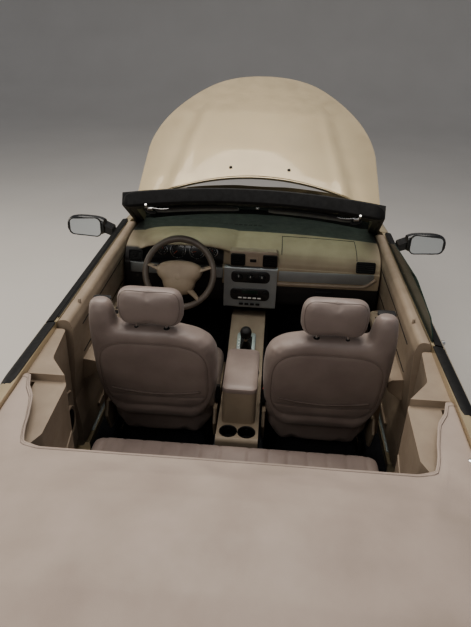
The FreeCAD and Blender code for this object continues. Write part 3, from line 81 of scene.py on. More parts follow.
class Finish:
    """A surface finish: one material, with the shader's even settings given by name."""

    def __init__(self, name, **even):
        self.material = bpy.data.materials.new(name)
        self.material.use_nodes = True
        self.tree = self.material.node_tree
        self.shader = self.tree.nodes["Principled BSDF"]
        for words, value in even.items():
            self.shader.inputs[words.replace("_", " ")].default_value = value
        self.place = self.node("ShaderNodeTexCoord", output="Object")

    def node(self, kind, settings=None, sockets=None, output=0):
        made = self.tree.nodes.new(kind)
        for key, value in (settings or {}).items():
            if key == "stops":
                ramp = made.color_ramp.elements
                while len(ramp) < len(value):
                    ramp.new(0.5)
                for stop, (position, colour) in zip(ramp, value):
                    stop.position = position
                    stop.color = colour
            else:
                setattr(made, key, value)
        for key, value in (sockets or {}).items():
            if isinstance(value, Value):
                self.tree.links.new(value.socket, made.inputs[key])
            else:
                made.inputs[key].default_value = value
        return Value(self, made.outputs[output])

    def feed(self, **sockets):
        for words, value in sockets.items():
            self.tree.links.new(value.socket, self.shader.inputs[words.replace("_", " ")])
        return self

    def along(self, axis):
        return self.node("ShaderNodeSeparateXYZ", None, {0: self.place}, output=axis)

    def noise(self, size, detail=3.0):
        return self.node("ShaderNodeTexNoise", None, {"Vector": self.place, "Scale": 1 / size, "Detail": detail})

    def cells(self, size):
        return self.node("ShaderNodeTexVoronoi", None, {"Vector": self.place, "Scale": 1 / size})

    def between(self, value, low, high, to_low=0.0, to_high=1.0):
        kinds = {"From Min": low, "From Max": high, "To Min": to_low, "To Max": to_high}
        return self.node("ShaderNodeMapRange", None, {"Value": value, **kinds})

    def mix(self, mask, first, second):
        return self.node("ShaderNodeMix", {"data_type": "RGBA"}, {0: mask, 6: first, 7: second}, output=2)

    def bump(self, height, depth, below=None, strength=1.0):
        sockets = {"Height": height, "Distance": depth, "Strength": strength}
        if below is not None:
            sockets["Normal"] = below
        return self.node("ShaderNodeBump", None, sockets)

    def clouded(self, size, first, second, detail=3.0):
        """Lets its colour drift between two tints."""
        return self.feed(Base_Color=self.mix(self.noise(size, detail), tint(*first), tint(*second)))

    def worn(self, size, low, high, detail=3.0, reach=(0.3, 0.7)):
        """Lets its roughness drift between two levels."""
        return self.feed(Roughness=self.between(self.noise(size, detail), *reach, low, high))

    def grained(self, size, depth, detail=3.0):
        """Gives it a fine grain of that depth."""
        return self.feed(Normal=self.bump(self.noise(size, detail), depth))


def tint(red, green, blue):
    """A colour as it is seen, from 0 to 255, for the shader."""
    levels = [((c / 255 + 0.055) / 1.055) ** 2.4 if c > 10 else c / 3295 for c in (red, green, blue)]
    return (*levels, 1.0)


floor_finish = Finish("studio_floor", Roughness=0.75)
floor_cloud = floor_finish.noise(0.9, 4.0)
floor_finish.feed(Base_Color=floor_finish.mix(floor_cloud, tint(196, 192, 186), tint(206, 202, 196)))
floor_mesh = bpy.data.meshes.new("studio_floor")
floor_rows = [(-14, 0), (9, 0), (11, 0.35), (12.4, 1.4), (13.2, 3.2), (13.6, 6.0), (13.8, 12.0)]
floor_points = [(x, y, z) for x, z in floor_rows for y in (-16, 16)]
floor_mesh.from_pydata(
    floor_points, [], [(2 * i, 2 * i + 2, 2 * i + 3, 2 * i + 1) for i in range(len(floor_rows) - 1)]
)
floor_mesh.materials.append(floor_finish.material)
floor_mesh.shade_smooth()
floor = bpy.data.objects.new("studio_floor", floor_mesh)
bpy.context.collection.objects.link(floor)

for name, place, aim, size, power, warmth in (
    ("overhead_light", (0.6, 0.3, 4.6), (0.2, 0, 0.8), 4.2, 150, (1.0, 0.95, 0.88)),
    ("rear_light", (-4.4, 1.4, 3.4), (-0.3, 0, 0.8), 2.6, 46, (1.0, 0.95, 0.88)),
    ("side_light", (1.2, 4.8, 2.6), (1.2, 0, 1.0), 2.2, 46, (1.0, 0.93, 0.80)),
):
    lamp = bpy.data.lights.new(name, "AREA")
    lamp.shape = "DISK"
    lamp.size = size
    lamp.energy = power
    lamp.color = warmth
    lamp_object = bpy.data.objects.new(name, lamp)
    lamp_object.location = place
    lamp_object.rotation_euler = (Vector(aim) - Vector(place)).to_track_quat("-Z", "Y").to_euler()
    bpy.context.collection.objects.link(lamp_object)

world = bpy.data.worlds.new("studio_air")
world.use_nodes = True
world.node_tree.nodes["Background"].inputs[0].default_value = (0.92, 0.94, 1.0, 1.0)
world.node_tree.nodes["Background"].inputs[1].default_value = 0.28
bpy.context.scene.world = world
bpy.context.scene.view_settings.view_transform = "AgX"
bpy.context.scene.view_settings.look = "AgX - Medium High Contrast"

heading, pitch, lean = math.radians(3.27), math.radians(28.35), math.radians(2.0)
forward = Vector((math.cos(pitch) * math.cos(heading), math.cos(pitch) * math.sin(heading), -math.sin(pitch)))
level = Vector((math.sin(heading), -math.cos(heading), 0))
upward = level.cross(forward)
camera_right = level * math.cos(lean) + upward * math.sin(lean)
camera_up = upward * math.cos(lean) - level * math.sin(lean)
camera_data = bpy.data.cameras.new("viewer")
sensor_width, focal_pixels, frame_pixels = 36.0, 580, 627
camera_data.sensor_width = sensor_width
camera_data.lens = sensor_width * focal_pixels / frame_pixels
camera = bpy.data.objects.new("viewer", camera_data)
axes = Matrix((camera_right, camera_up, -forward)).transposed().to_4x4()
camera.matrix_world = Matrix.Translation((-2.535, -0.088, 2.124)) @ axes
bpy.context.collection.objects.link(camera)
bpy.context.scene.camera = camera


# Painted shell: pressed steel fenders, doors, quarters, sills, hood and trunk lid with moulded bumper covers, all in
# champagne metallic under clear coat. Fine flakes glint in it, and a little dust lies on what faces up.
paint = Finish("champagne_paint", Coat_Roughness=0.06, IOR=1.5)
flakes = paint.cells(0.0007)
cloud = paint.noise(0.55, 3.0)
faces_up = paint.node(
    "ShaderNodeSeparateXYZ", None, {0: paint.node("ShaderNodeNewGeometry", output="Normal")}, output=2
)
dust = paint.between(faces_up, 0.55, 1.0) * paint.noise(0.09, 6.0)
lacquer = paint.mix(paint.between(cloud, 0.3, 0.7), tint(178, 163, 133), tint(188, 172, 141))
paint.feed(
    Base_Color=paint.mix(dust * 0.35, lacquer, tint(170, 160, 142)),
    Metallic=0.62 + dust * -0.35,
    Roughness=paint.between(flakes, 0.0, 1.0, 0.33, 0.43) + dust * 0.22,
    Coat_Weight=0.85 + dust * -0.5,
    Normal=paint.bump(flakes, 0.00002, paint.bump(paint.noise(0.004, 2.0), 0.00001)),
)


def dress(finish, *nodes):
    """Gives CAD nodes a finish."""
    for node in nodes:
        slots = cad[node].material_slots
        for slot in slots:
            slot.material = finish.material
        if not slots:
            cad[node].data.materials.append(finish.material)


dress(paint, "front_fenders", "hood", "door_left", "door_right", "quarter_panels", "trunk_lid", "rear_fascia")
dress(paint, "front_fascia", "sills")


def ring(centre, across, up, half_across, half_up, corner, steps=5):
    """A rounded rectangle as a loop of points."""
    points = []
    for quarter, (side_a, side_b) in enumerate(((1, 1), (-1, 1), (-1, -1), (1, -1))):
        for step in range(steps + 1):
            angle = math.radians(90 * (quarter + step / steps))
            a = side_a * (half_across - corner) + corner * math.cos(angle)
            b = side_b * (half_up - corner) + corner * math.sin(angle)
            points.append(Vector(centre) + Vector(across) * a + Vector(up) * b)
    return points


class Piece:
    """Gathers one piece's mesh from runs of simple making steps, then makes its object and rides it on a body."""

    def __init__(self, name, body="chassis"):
        self.name = name
        self.body = body
        self.points = []
        self.faces = []
        self.kinds = []
        self.finishes = []

    def add(self, points, faces, finish):
        if finish not in self.finishes:
            self.finishes.append(finish)
        start = len(self.points)
        self.points += [Vector(p) for p in points]
        self.faces += [[start + i for i in face] for face in faces]
        self.kinds += [self.finishes.index(finish)] * len(faces)
        return self

    def loft(self, rings, finish, closed=True, caps=True):
        """Skins rings of equal count, and caps both ends."""
        count = len(rings[0])
        faces = []
        for r in range(len(rings) - 1):
            for i in range(count if closed else count - 1):
                j = (i + 1) % count
                faces.append((r * count + i, r * count + j, (r + 1) * count + j, (r + 1) * count + i))
        if caps and closed:
            last = (len(rings) - 1) * count
            faces.append(list(range(count))[::-1])
            faces.append([last + i for i in range(count)])
        return self.add([p for one in rings for p in one], faces, finish)

    def raised(self, centre, across, up, size, corner, height, finish, round=0.0015):
        """A key, plate or bezel: a rounded rectangle that stands up from a face, its front edge rounded."""
        across, up = Vector(across).normalized(), Vector(up).normalized()
        out = across.cross(up) * (1 if height > 0 else -1)
        round = min(round, abs(height) * 0.8)
        rings = []
        for inset, depth in (
            (0, 0), (0, abs(height) - round), (round * 0.3, abs(height) - round * 0.3), (round, abs(height))
        ):
            half = (size[0] / 2 - inset, size[1] / 2 - inset)
            rings.append(ring(Vector(centre) + out * depth, across, up, *half, max(corner - inset, 0.0003)))
        return self.loft(rings, finish)

    def tube(self, path, radius, finish, sides=10, closed=False, flat=1.0):
        """A round or flattened bar along points."""
        path = [Vector(p) for p in path]
        rings = []
        side = None
        for i, point in enumerate(path):
            ahead = path[(i + 1) % len(path)] if closed or i + 1 < len(path) else point
            behind = path[i - 1] if closed or i else point
            along = (ahead - behind).normalized()
            if side is None:
                side = along.cross(Vector((0, 0, 1)) if abs(along.z) < 0.9 else Vector((0, 1, 0)))
            side = (side - along * side.dot(along)).normalized()
            other = along.cross(side)
            size = radius[i] if isinstance(radius, (list, tuple)) else radius
            turns = [2 * math.pi * k / sides for k in range(sides)]
            rings.append([point + side * size * math.cos(t) + other * size * flat * math.sin(t) for t in turns])
        if closed:
            rings.append(rings[0])
        return self.loft(rings, finish, caps=not closed)

    def turned(self, centre, axis, profile, finish, sides=40, caps=True):
        """A form turned about an axis from (distance along, radius) rows."""
        axis = Vector(axis).normalized()
        side = axis.orthogonal().normalized()
        other = axis.cross(side)
        rings = []
        for along, radius in profile:
            turns = [2 * math.pi * k / sides for k in range(sides)]
            middle = Vector(centre) + axis * along
            rings.append([middle + (side * math.cos(t) + other * math.sin(t)) * max(radius, 1e-5) for t in turns])
        return self.loft(rings, finish, caps=caps)

    def done(self, slot=None, sharp=35.0):
        mesh = bpy.data.meshes.new(self.name)
        mesh.from_pydata([tuple(p) for p in self.points], [], self.faces)
        for finish in self.finishes:
            mesh.materials.append(finish.material)
        mesh.polygons.foreach_set("material_index", self.kinds)
        tidy = bmesh.new()
        tidy.from_mesh(mesh)
        bmesh.ops.remove_doubles(tidy, verts=tidy.verts, dist=1e-6)
        bmesh.ops.recalc_face_normals(tidy, faces=tidy.faces)
        loose = [v for v in tidy.verts if not v.link_faces]
        bmesh.ops.delete(tidy, geom=loose, context="VERTS")
        tidy.to_mesh(mesh)
        tidy.free()
        mesh.shade_smooth()
        mesh.set_sharp_from_angle(angle=math.radians(sharp))
        made = bpy.data.objects.new(self.name, mesh)
        bpy.context.collection.objects.link(made)
        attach(made, self.body)
        return made


def twin(original, name):
    """The same piece on the car's other side."""
    mesh = original.data.copy()
    mesh.name = name
    mesh.transform(Matrix.Scale(-1, 4, (0, 1, 0)))
    mesh.flip_normals()
    made = bpy.data.objects.new(name, mesh)
    bpy.context.collection.objects.link(made)
    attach(made, "chassis")
    return made


# Hood: the propped-open panel's outer skin carries two soft creases that run forward from the cowl, and two small
# washer jets near its rear edge. A pressed inner frame and a moulded pad line its underside.
def crowned(x, y):
    """Height of the shut hood's or deck's surface."""
    ridge = [(-2.47, 0.964), (-2.28, 0.988), (-2.08, 1.003), (-1.87, 1.011), (-1.65, 1.014), (-1.242, 1.016)]
    ridge += [(-0.54, 1.010), (0.2, 1.003), (0.95, 0.985), (1.2, 0.960), (1.45, 0.925), (1.85, 0.860), (2.15, 0.792)]
    ridge += [(2.3, 0.752), (2.47, 0.716)]
    return float(np.interp(x, *zip(*ridge))) - 0.048 * (y / 0.7) ** 2


hood_edge = [(0.962, 0.756), (1.2, 0.755), (1.48, 0.752), (1.8, 0.672), (2.06, 0.510), (2.244, 0.330), (2.326, 0.0)]
hood_hinge = Matrix.Translation((0.83, 0, 0.885))
hood_turn = hood_hinge @ Matrix.Rotation(math.radians(-35), 4, "Y") @ hood_hinge.inverted()


def hood_point(x, y, lift):
    """A point over the hood's skin, with the hood turned up."""
    crease = 0.52 - 0.16 * (x - 1.2)
    rise = 0.0045 * math.exp(-(((abs(y) - crease) / 0.035) ** 2)) * min(1.0, max(0.0, (2.1 - x) / 0.4))
    rise -= 0.0025 * math.exp(-(((abs(y) - crease - 0.06) / 0.05) ** 2))
    return hood_turn @ Vector((x, y, crowned(x, y) + lift + rise))


skin_rings = []
for i in range(61):
    x = 0.98 + (2.308 - 0.98) * i / 60
    half = float(np.interp(x, *zip(*hood_edge))) - 0.008
    row = []
    for j in range(57):
        y = half * (j / 28 - 1)
        row.append((max(x, 1.196 - 0.224 * (y / 0.756) ** 2), y))
    skin_rings.append(row)
hood_skin = Piece("hood_skin", "hood")
hood_skin.loft([[hood_point(x, y, 0.0035) for x, y in row] for row in skin_rings], paint, closed=False)
hood_skin.done("paint")

moulding = Finish("moulded_black", Specular_IOR_Level=0.4)
moulding.clouded(0.12, (24, 24, 25), (36, 35, 35), 5.0).worn(0.05, 0.48, 0.66, 4.0)
moulding.feed(Normal=moulding.bump(moulding.cells(0.0011), 0.00012))
jets = Piece("washer_jets", "hood")
for y in (0.185, -0.185):
    foot = hood_point(1.262, y, 0.004)
    up = (hood_point(1.262, y, 0.02) - foot).normalized()
    back = up.cross(Vector((0, 1, 0)))
    jets.raised(foot, Vector((0, 1, 0)), back, (0.020, 0.013), 0.005, 0.008, moulding, 0.003)
    jets.tube([foot + up * 0.008, foot + up * 0.011 - back * 0.004], 0.0022, moulding, 8)
jets.done("black_plastic")

felt = Finish("hood_pad_felt", Sheen_Weight=0.3)
felt.clouded(0.02, (34, 33, 32), (52, 50, 48), 6.0).worn(0.01, 0.85, 0.98, reach=(0.0, 1.0))
felt.grained(0.0018, 0.0008, 5.0)
pad = Piece("hood_pad", "hood")
for low, high, half in ((1.30, 1.62, 0.50), (1.66, 2.02, 0.40)):
    rings = []
    for inset, drop in ((0, 0.0205), (0, 0.026), (0.012, 0.0305), (0.05, 0.027)):
        loop = ring(((low + high) / 2, 0, 0), (1, 0, 0), (0, 1, 0), (high - low) / 2 - inset, half - inset, 0.07, 8)
        rings.append([hood_turn @ Vector((p.x, p.y, crowned(p.x, p.y) - drop)) for p in loop])
    pad.loft(rings, felt)
pad.done("black_plastic")
frame_half = [(1.31, 0.62), (1.6, 0.60), (1.9, 0.47), (2.14, 0.26), (2.2, 0.0)]
for name, path, half_width in (
    ("hood_frame", frame_half + [(x, -y) for x, y in reversed(frame_half[:-1])], 0.03),
    ("hood_crossbar", [(1.64, 0.60), (1.64, 0.2), (1.64, -0.2), (1.64, -0.60)], 0.016),
):
    bar = Piece(name, "hood")
    rings = []
    for i, (x, y) in enumerate(path):
        a, b = Vector(path[max(i - 1, 0)]), Vector(path[min(i + 1, len(path) - 1)])
        side = Vector((-(b - a).y, (b - a).x)).normalized() * half_width
        rows = [(-1.6, 0.0195), (-1, 0.030), (-0.5, 0.036), (0.5, 0.036), (1, 0.030), (1.6, 0.0195)]
        section = [(x + side.x * k, y + side.y * k, d) for k, d in rows]
        rings.append([hood_turn @ Vector((u, v, crowned(u, v) - d)) for u, v, d in section])
    bar.loft(rings, paint).done("paint")


# Windshield: laminated glass with a green tint and a dark fritted edge, bonded in the painted frame. The black header
# above it holds two bright latches for the top, two folded visors and the stub of the inside mirror.
glass = Finish("window_glass", Transmission_Weight=1.0, IOR=1.45, Alpha=1.0)
glass.clouded(0.5, (205, 226, 214), (214, 232, 222)).worn(0.06, 0.0, 0.03, 5.0, reach=(0.4, 0.8))
dress(glass, "windshield")
gasket = Finish("black_rubber", Specular_IOR_Level=0.35)
gasket.clouded(0.06, (18, 18, 19), (34, 33, 32), 5.0).worn(0.02, 0.5, 0.72, 4.0).grained(0.0012, 0.00015)
dress(gasket, "header_trim", "belt_strip_left", "belt_strip_right")
dress(moulding, "cowl")
tinted = Finish("tinted_side_glass", IOR=1.45)
tinted.clouded(0.3, (30, 46, 40), (36, 54, 47)).worn(0.05, 0.02, 0.07, 5.0, reach=(0.4, 0.8))
dress(tinted, "window_right")

frame_enamel = Finish("windshield_frame_enamel", Coat_Roughness=0.06, IOR=1.5)
facing = frame_enamel.node(
    "ShaderNodeSeparateXYZ", None, {0: frame_enamel.node("ShaderNodeNewGeometry", output="Normal")}, output=0
)
rubbered = frame_enamel.between(facing, 0.16, 0.04)
champagne = frame_enamel.mix(frame_enamel.noise(0.55, 3.0), tint(178, 163, 133), tint(188, 172, 141))
frame_enamel.feed(
    Base_Color=frame_enamel.mix(
        rubbered, champagne, frame_enamel.mix(frame_enamel.noise(0.06, 5.0), tint(17, 17, 18), tint(30, 29, 28))
    ),
    Metallic=0.62 - rubbered * 0.62,
    Roughness=0.36 + rubbered * 0.26,
    Coat_Weight=0.85 - rubbered * 0.85,
)
dress(frame_enamel, "windshield_frame")


def screen(share, y, inward):
    """A point on the windshield: share is how far up its slope, and inward its depth behind the outer face."""
    base, head = (1.082, 0.905, 0.740, 0.932, 0.925), (0.171, 0.084, 0.612, 1.338, 1.316)
    middle_x, corner_x, half, middle_z, corner_z = [a + (b - a) * share for a, b in zip(base, head)]
    bend = (y / half) ** 2
    x = middle_x - (middle_x - corner_x) * bend
    z = middle_z - (middle_z - corner_z) * bend
    return Vector((x - 0.407 * inward, y, z - 0.913 * inward))


frit = Piece("windshield_frit")
for low, high in ((0.061, 0.095), (0.925, 0.944)):
    ys = [0.655 * (k / 20 - 1) * (1 - 0.15 * low) for k in range(41)]
    frit.loft(
        [[screen(s, y * (1 if s < 0.5 else 0.86), 0.0096) for y in ys] for s in (low, high)], gasket, closed=False
    )
frit.done("black_trim")

bright = Finish("bright_metal", Metallic=1.0)
bright.clouded(0.02, (196, 196, 194), (222, 222, 220), 4.0).worn(0.008, 0.16, 0.32, 5.0)
latches = Piece("header_latches")
for side in (1, -1):
    root = screen(0.985, side * 0.475, 0.080)
    lever = [root + Vector((0.0, side * k, 0.004 * math.sin(k * 40))) for k in (0.0, -0.02, -0.04, -0.06, -0.078)]
    latches.tube(lever, [0.010, 0.009, 0.008, 0.007, 0.005], bright, 12, flat=0.5)
    latches.turned(root + Vector((0, side * 0.012, -0.004)), (0, 1, 0), [(-0.012, 0.013), (0.012, 0.013)], bright, 20)
    hook = [
        root + Vector((-0.012, side * 0.022, 0.004)), root + Vector((-0.030, side * 0.024, 0.010)),
        root + Vector((-0.040, side * 0.024, 0.026)),
    ]
    latches.tube(hook, 0.0055, bright, 10)
latches.done("bezel")
header = Piece("header_moulding")
section = [
    (1.001, 0.004), (1.019, 0.002), (1.027, 0.008), (1.028, 0.040), (1.026, 0.064), (1.017, 0.074), (0.96, 0.0745)
]
section += [(0.906, 0.0735), (0.900, 0.068), (0.902, 0.0615), (0.95, 0.061), (1.0015, 0.061)]
rings = []
for k in range(49):
    y = 0.612 * math.sin(math.pi / 2 * (k / 24 - 1))
    past = max(0.0, (abs(y) - 0.552) / 0.060)
    close = 1 - math.sqrt(max(0.0, 1 - min(past, 0.995) ** 2))
    rings.append([screen(s + (0.985 - s) * close, y, d + (0.050 - d) * close) for s, d in section])
header.loft(rings, gasket)
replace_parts(header.done("black_trim"), "header_trim")
for side, hand in ((1, "left"), (-1, "right")):
    seal = Piece("pillar_seal_" + hand)
    run = [screen(0.20 + 0.0725 * k, side * (0.728 - 0.128 * (0.20 + 0.0725 * k)), 0.052) for k in range(11)]
    run += [
        screen(0.972, side * 0.590, 0.056), screen(0.998, side * 0.560, 0.062), screen(1.004, side * 0.510, 0.066)
    ]
    seal.tube(run, [0.006] + [0.012] * 12 + [0.008], gasket, 14, flat=0.8)
    seal.done("black_trim")

# The visors are coloured dark grey as they look in the header's shadow: painted shade. Their clips share the finish.
visor_skin_painted_shade = Finish("visor_vinyl_painted_shade", Sheen_Weight=0.15)
visor_skin_painted_shade.clouded(0.09, (30, 29, 30), (44, 43, 44), 5.0).worn(0.03, 0.5, 0.68, 4.0)
visor_skin_painted_shade.feed(Normal=visor_skin_painted_shade.bump(visor_skin_painted_shade.cells(0.0014), 0.00012))
for side, hand in ((1, "left"), (-1, "right")):
    visor = Piece("visor_" + hand)
    rings = []
    for k in range(15):
        y = side * (0.075 + 0.40 * k / 14)
        narrow = 1 - 0.22 * max(0.0, (k - 11) / 3) ** 2 - 0.18 * max(0.0, (3 - k) / 3) ** 2
        loop = []
        for t in range(16):
            a = 2 * math.pi * t / 16
            share = 0.872 + 0.066 * narrow * math.cos(a)
            fat = 0.0095 * (abs(math.sin(a)) ** 0.8) * (1 if math.sin(a) >= 0 else -1) * (0.6 if k in (0, 14) else 1)
            loop.append(screen(share, y, 0.084 + fat))
        rings.append(loop)
    visor.loft(rings, visor_skin_painted_shade)
    welt = [screen(0.872 - 0.070, side * (0.09 + 0.37 * k / 10), 0.084) for k in range(11)]
    visor.tube(welt, 0.0022, visor_skin_painted_shade, 8)
    padded_visor = visor.done("black_trim")
    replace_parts(padded_visor, "sun_visors")
    clip = Piece("visor_clip_" + hand)
    pin = screen(0.93, side * 0.515, 0.086)
    clip.tube(
        [
            pin + Vector((0, 0, 0.012)), pin, pin + Vector((-0.004, -side * 0.02, -0.008)),
            pin + Vector((-0.004, -side * 0.045, -0.008)),
        ],
        0.006, visor_skin_painted_shade, 10,
    )
    clip.done("black_trim")

stub = Piece("mirror_stub")
foot = screen(0.90, -0.016, 0.0094)
stub.turned(foot, (-0.41, 0, -0.91), [(0, 0.014), (0.003, 0.015), (0.006, 0.013), (0.008, 0.008)], moulding, 24)
stub.tube(
    [
        foot + Vector((-0.003, 0, -0.006)), foot + Vector((-0.016, -0.001, -0.02)),
        foot + Vector((-0.022, -0.002, -0.042)), foot + Vector((-0.020, -0.004, -0.062)),
    ],
    [0.0075, 0.007, 0.0065, 0.0075], moulding, 12,
)
stub.turned(
    foot + Vector((-0.020, -0.004, -0.064)), (0, 0, -1),
    [(-0.009, 0.004), (-0.005, 0.0085), (0.002, 0.0095), (0.008, 0.006)], bright, 20,
)
stub.done("black_plastic")

wipers = Piece("wipers")
for y, reach in ((0.42, 0.44), (-0.16, 0.42)):
    pivot = Vector((1.03, y, 0.957))
    wipers.turned(pivot, (0.4, 0, 0.91), [(-0.03, 0.014), (0.0, 0.014), (0.006, 0.008)], moulding, 20)
    end = screen(0.075, y - reach, -0.010)
    arm = [
        pivot, pivot.lerp(end, 0.25) + Vector((0.004, 0, 0.012)), pivot.lerp(end, 0.7) + Vector((0.002, 0, 0.008)),
        pivot.lerp(end, 0.8),
    ]
    wipers.tube(arm, [0.010, 0.008, 0.006, 0.005], moulding, 8, flat=0.5)
    blade = [screen(0.075 + 0.012 * k / 12, y - 0.10 - (reach + 0.04) * k / 12, -0.006) for k in range(13)]
    wipers.tube(blade, 0.0055, gasket, 8)
    wipers.tube([p + Vector((0.006, 0, 0.008)) for p in blade[2:11]], 0.004, moulding, 8)
wipers.done("black_plastic")


# Doors: each shell has a beige moulded trim panel with a padded top roll, an armrest with its pull and switches, an
# inner handle in its cup, a speaker and a seam round the insert. Outside, a body-coloured strip runs along each door.
def skinned(name, colour, shade, roughness, grain, depth, blotch=0.12, **even):
    """A moulded, rubbed or sewn skin: blotches of shade over its colour, and a pebbled grain of the given size."""
    finish = Finish(name, **even)
    cloud = finish.noise(blotch, 5.0)
    worn = finish.noise(blotch * 0.3, 4.0)
    finish.feed(
        Base_Color=finish.mix(finish.between(cloud, 0.35, 0.68), colour, shade),
        Roughness=finish.between(worn, 0.3, 0.7, roughness - 0.06, roughness + 0.08),
        Normal=finish.bump(finish.cells(grain), depth, finish.bump(finish.noise(grain * 12, 4.0), depth * 2)),
    )
    return finish


beige = skinned("beige_trim", tint(156, 141, 124), tint(144, 129, 113), 0.52, 0.0016, 0.00012)
dress(beige, "door_trim_left", "door_trim_right", "quarter_trims")
# This near-black finish serves real black parts and dark joints, and is painted shade where it fills the opening of a
# hollow.
black_and_recess_shade = skinned("black_and_painted_recess_shade", tint(14, 14, 15), tint(24, 23, 23), 0.6, 0.002, 0.0001)
for side, hand in ((1, "left"), (-1, "right")):
    fittings = Piece("door_fittings_" + hand, "door_" + hand)
    out = Vector((0, -side, 0))

    def on_door(x, z, proud=0.0, side=side):
        """A point on the trim's face, which leans with its profile."""
        y = float(np.interp(z, (0.42, 0.56, 0.72, 0.915, 0.955), (0.700, 0.716, 0.702, 0.692, 0.704)))
        return Vector((x, side * (y - proud), z))

    cup = [
        on_door(x, z, 0.0045)
        for x, z in ((0.54, 0.80), (0.60, 0.812), (0.655, 0.80), (0.66, 0.765), (0.60, 0.75), (0.535, 0.765))
    ]
    fittings.tube(cup, 0.006, beige, 10, closed=True)
    # The cup's floor is a flat near-black face: painted shade for the recess.
    fittings.add(cup, [range(6)], black_and_recess_shade)
    lever = [
        on_door(0.545, 0.783, 0.004), on_door(0.58, 0.786, 0.014), on_door(0.625, 0.784, 0.014),
        on_door(0.648, 0.780, 0.006),
    ]
    fittings.tube(lever, [0.006, 0.0085, 0.0085, 0.007], bright, 12, flat=0.6)
    for path in (
        [(-0.40, 0.875), (-0.1, 0.885), (0.3, 0.888), (0.69, 0.880)],
        [(-0.40, 0.735), (-0.1, 0.742), (0.25, 0.752), (0.45, 0.735), (0.69, 0.715)],
        [(0.47, 0.885), (0.455, 0.84), (0.46, 0.78), (0.49, 0.73)],
    ):
        points = [on_door(float(x), float(z), 0.0008) for x, z in path]
        fittings.tube(points, 0.0022, black_and_recess_shade, 6)
    speaker = on_door(0.47, 0.50, 0.001)
    fittings.turned(
        speaker, out, [(0, 0.090), (0.006, 0.090), (0.009, 0.086), (0.009, 0.078), (0.005, 0.074)], beige, 48
    )
    fittings.turned(
        speaker + out * 0.004, out, [(0, 0.075), (0.003, 0.070), (0.005, 0.03), (0.0055, 0.0005)], gasket, 36
    )
    for k in range(3):
        key = Vector((0.14 - 0.05 * k, side * 0.672, 0.696))
        fittings.raised(key, (1, 0, 0), (0, side, 0), (0.034, 0.022), 0.004, 0.005 * side, moulding)
    pocket = [on_door(x, 0.385 + 0.02 * math.sin(x * 3), 0.006) for x in (-0.30, -0.1, 0.1, 0.3)]
    fittings.tube(pocket, 0.006, beige, 10)
    fittings.turned(
        on_door(-0.36, 0.955, 0.012) + Vector((0, side * 0.02, 0.0)), (0, 0, 1),
        [(0, 0.007), (0.016, 0.0065), (0.020, 0.004)], beige, 16,
    )
    fittings.done("trim_beige")
    strip = Piece("side_strip_" + hand, "door_" + hand)
    rings = []
    for k in range(25):
        x = -0.500 + 1.262 * k / 24
        y = float(np.interp(x, (-0.54, 0.2, 0.95), (0.902, 0.902, 0.898)))
        rows = [(-0.026, -0.004), (-0.022, 0.004), (-0.012, 0.0075), (0.012, 0.0075), (0.022, 0.004), (0.026, -0.004)]
        end = 0.3 if k in (0, 24) else 1.0
        rings.append(
            [Vector((x, side * (y + d * end - 0.003), 0.565 + h * (0.7 if k in (0, 24) else 1))) for h, d in rows]
        )
    strip.loft(rings, paint)
    strip.turned(
        (-0.315, side * 0.868, 0.842), (0, side, 0), [(-0.012, 0.0105), (0.006, 0.0105), (0.008, 0.008)], bright, 20
    )
    strip.done("paint")
    felt_slot = Piece("window_slot_" + hand, "door_" + hand)
    line = [Vector((x, side * 0.757, 0.9585)) for x in (-0.50, -0.2, 0.1, 0.4, 0.70)]
    felt_slot.tube(line, 0.0035, black_and_recess_shade, 8, flat=0.6)
    felt_slot.done("black_trim")


# Mirrors: moulded shells in gloss black, screwed to the doors' front corners. Each holds a rear-facing silvered glass
# in a dark bezel.
gloss_black = Finish("gloss_black_shell", Coat_Weight=0.5, Coat_Roughness=0.08)
gloss_black.clouded(0.08, (16, 17, 18), (24, 24, 25), 4.0).worn(0.05, 0.22, 0.36, 5.0)
dress(gloss_black, "mirror_left", "mirror_right")
silvering = Finish("mirror_silvering", Metallic=1.0)
silvering.clouded(0.2, (206, 212, 216), (214, 220, 224)).worn(0.05, 0.01, 0.05, 5.0, reach=(0.4, 0.8))
for side, hand in ((1, "left"), (-1, "right")):
    eye = Piece("mirror_glass_" + hand, "door_" + hand)
    centre = Vector((0.4705, side * 0.9385, 0.990))
    loop = ring((0, 0, 0), (0, 1, 0), (0, 0, 1), 0.086, 0.052, 0.028, 8)
    shape = [Vector((0, p.y, p.z * (1.0 if p.y * side < 0 else 0.86))) for p in loop]
    inner = [centre + p for p in shape]
    rim_rings = [
        [centre + p * s + Vector((d, 0, 0)) for p in shape]
        for s, d in ((1.07, 0.004), (1.06, -0.004), (1.0, -0.004), (0.985, 0.001))
    ]
    eye.loft(rim_rings, gloss_black, caps=False)
    eye.add(inner, [range(len(inner))], silvering)
    eye.done("mirror_black", sharp=50)


# Dashboard: one deep moulding, dark grey under the windshield and beige below, that swells into a cowl over four
# dials. A silver band and a beige roll cross the passenger's side, and the airbag's seam runs round the top.
dash = Finish("dash_moulding")
ahead, height, across = dash.along(0), dash.along(2), dash.along(1)
dark_top = dash.between(ahead + across * across * 0.12, 0.598, 0.604)
dark_low = dash.between(height, 0.772, 0.768)
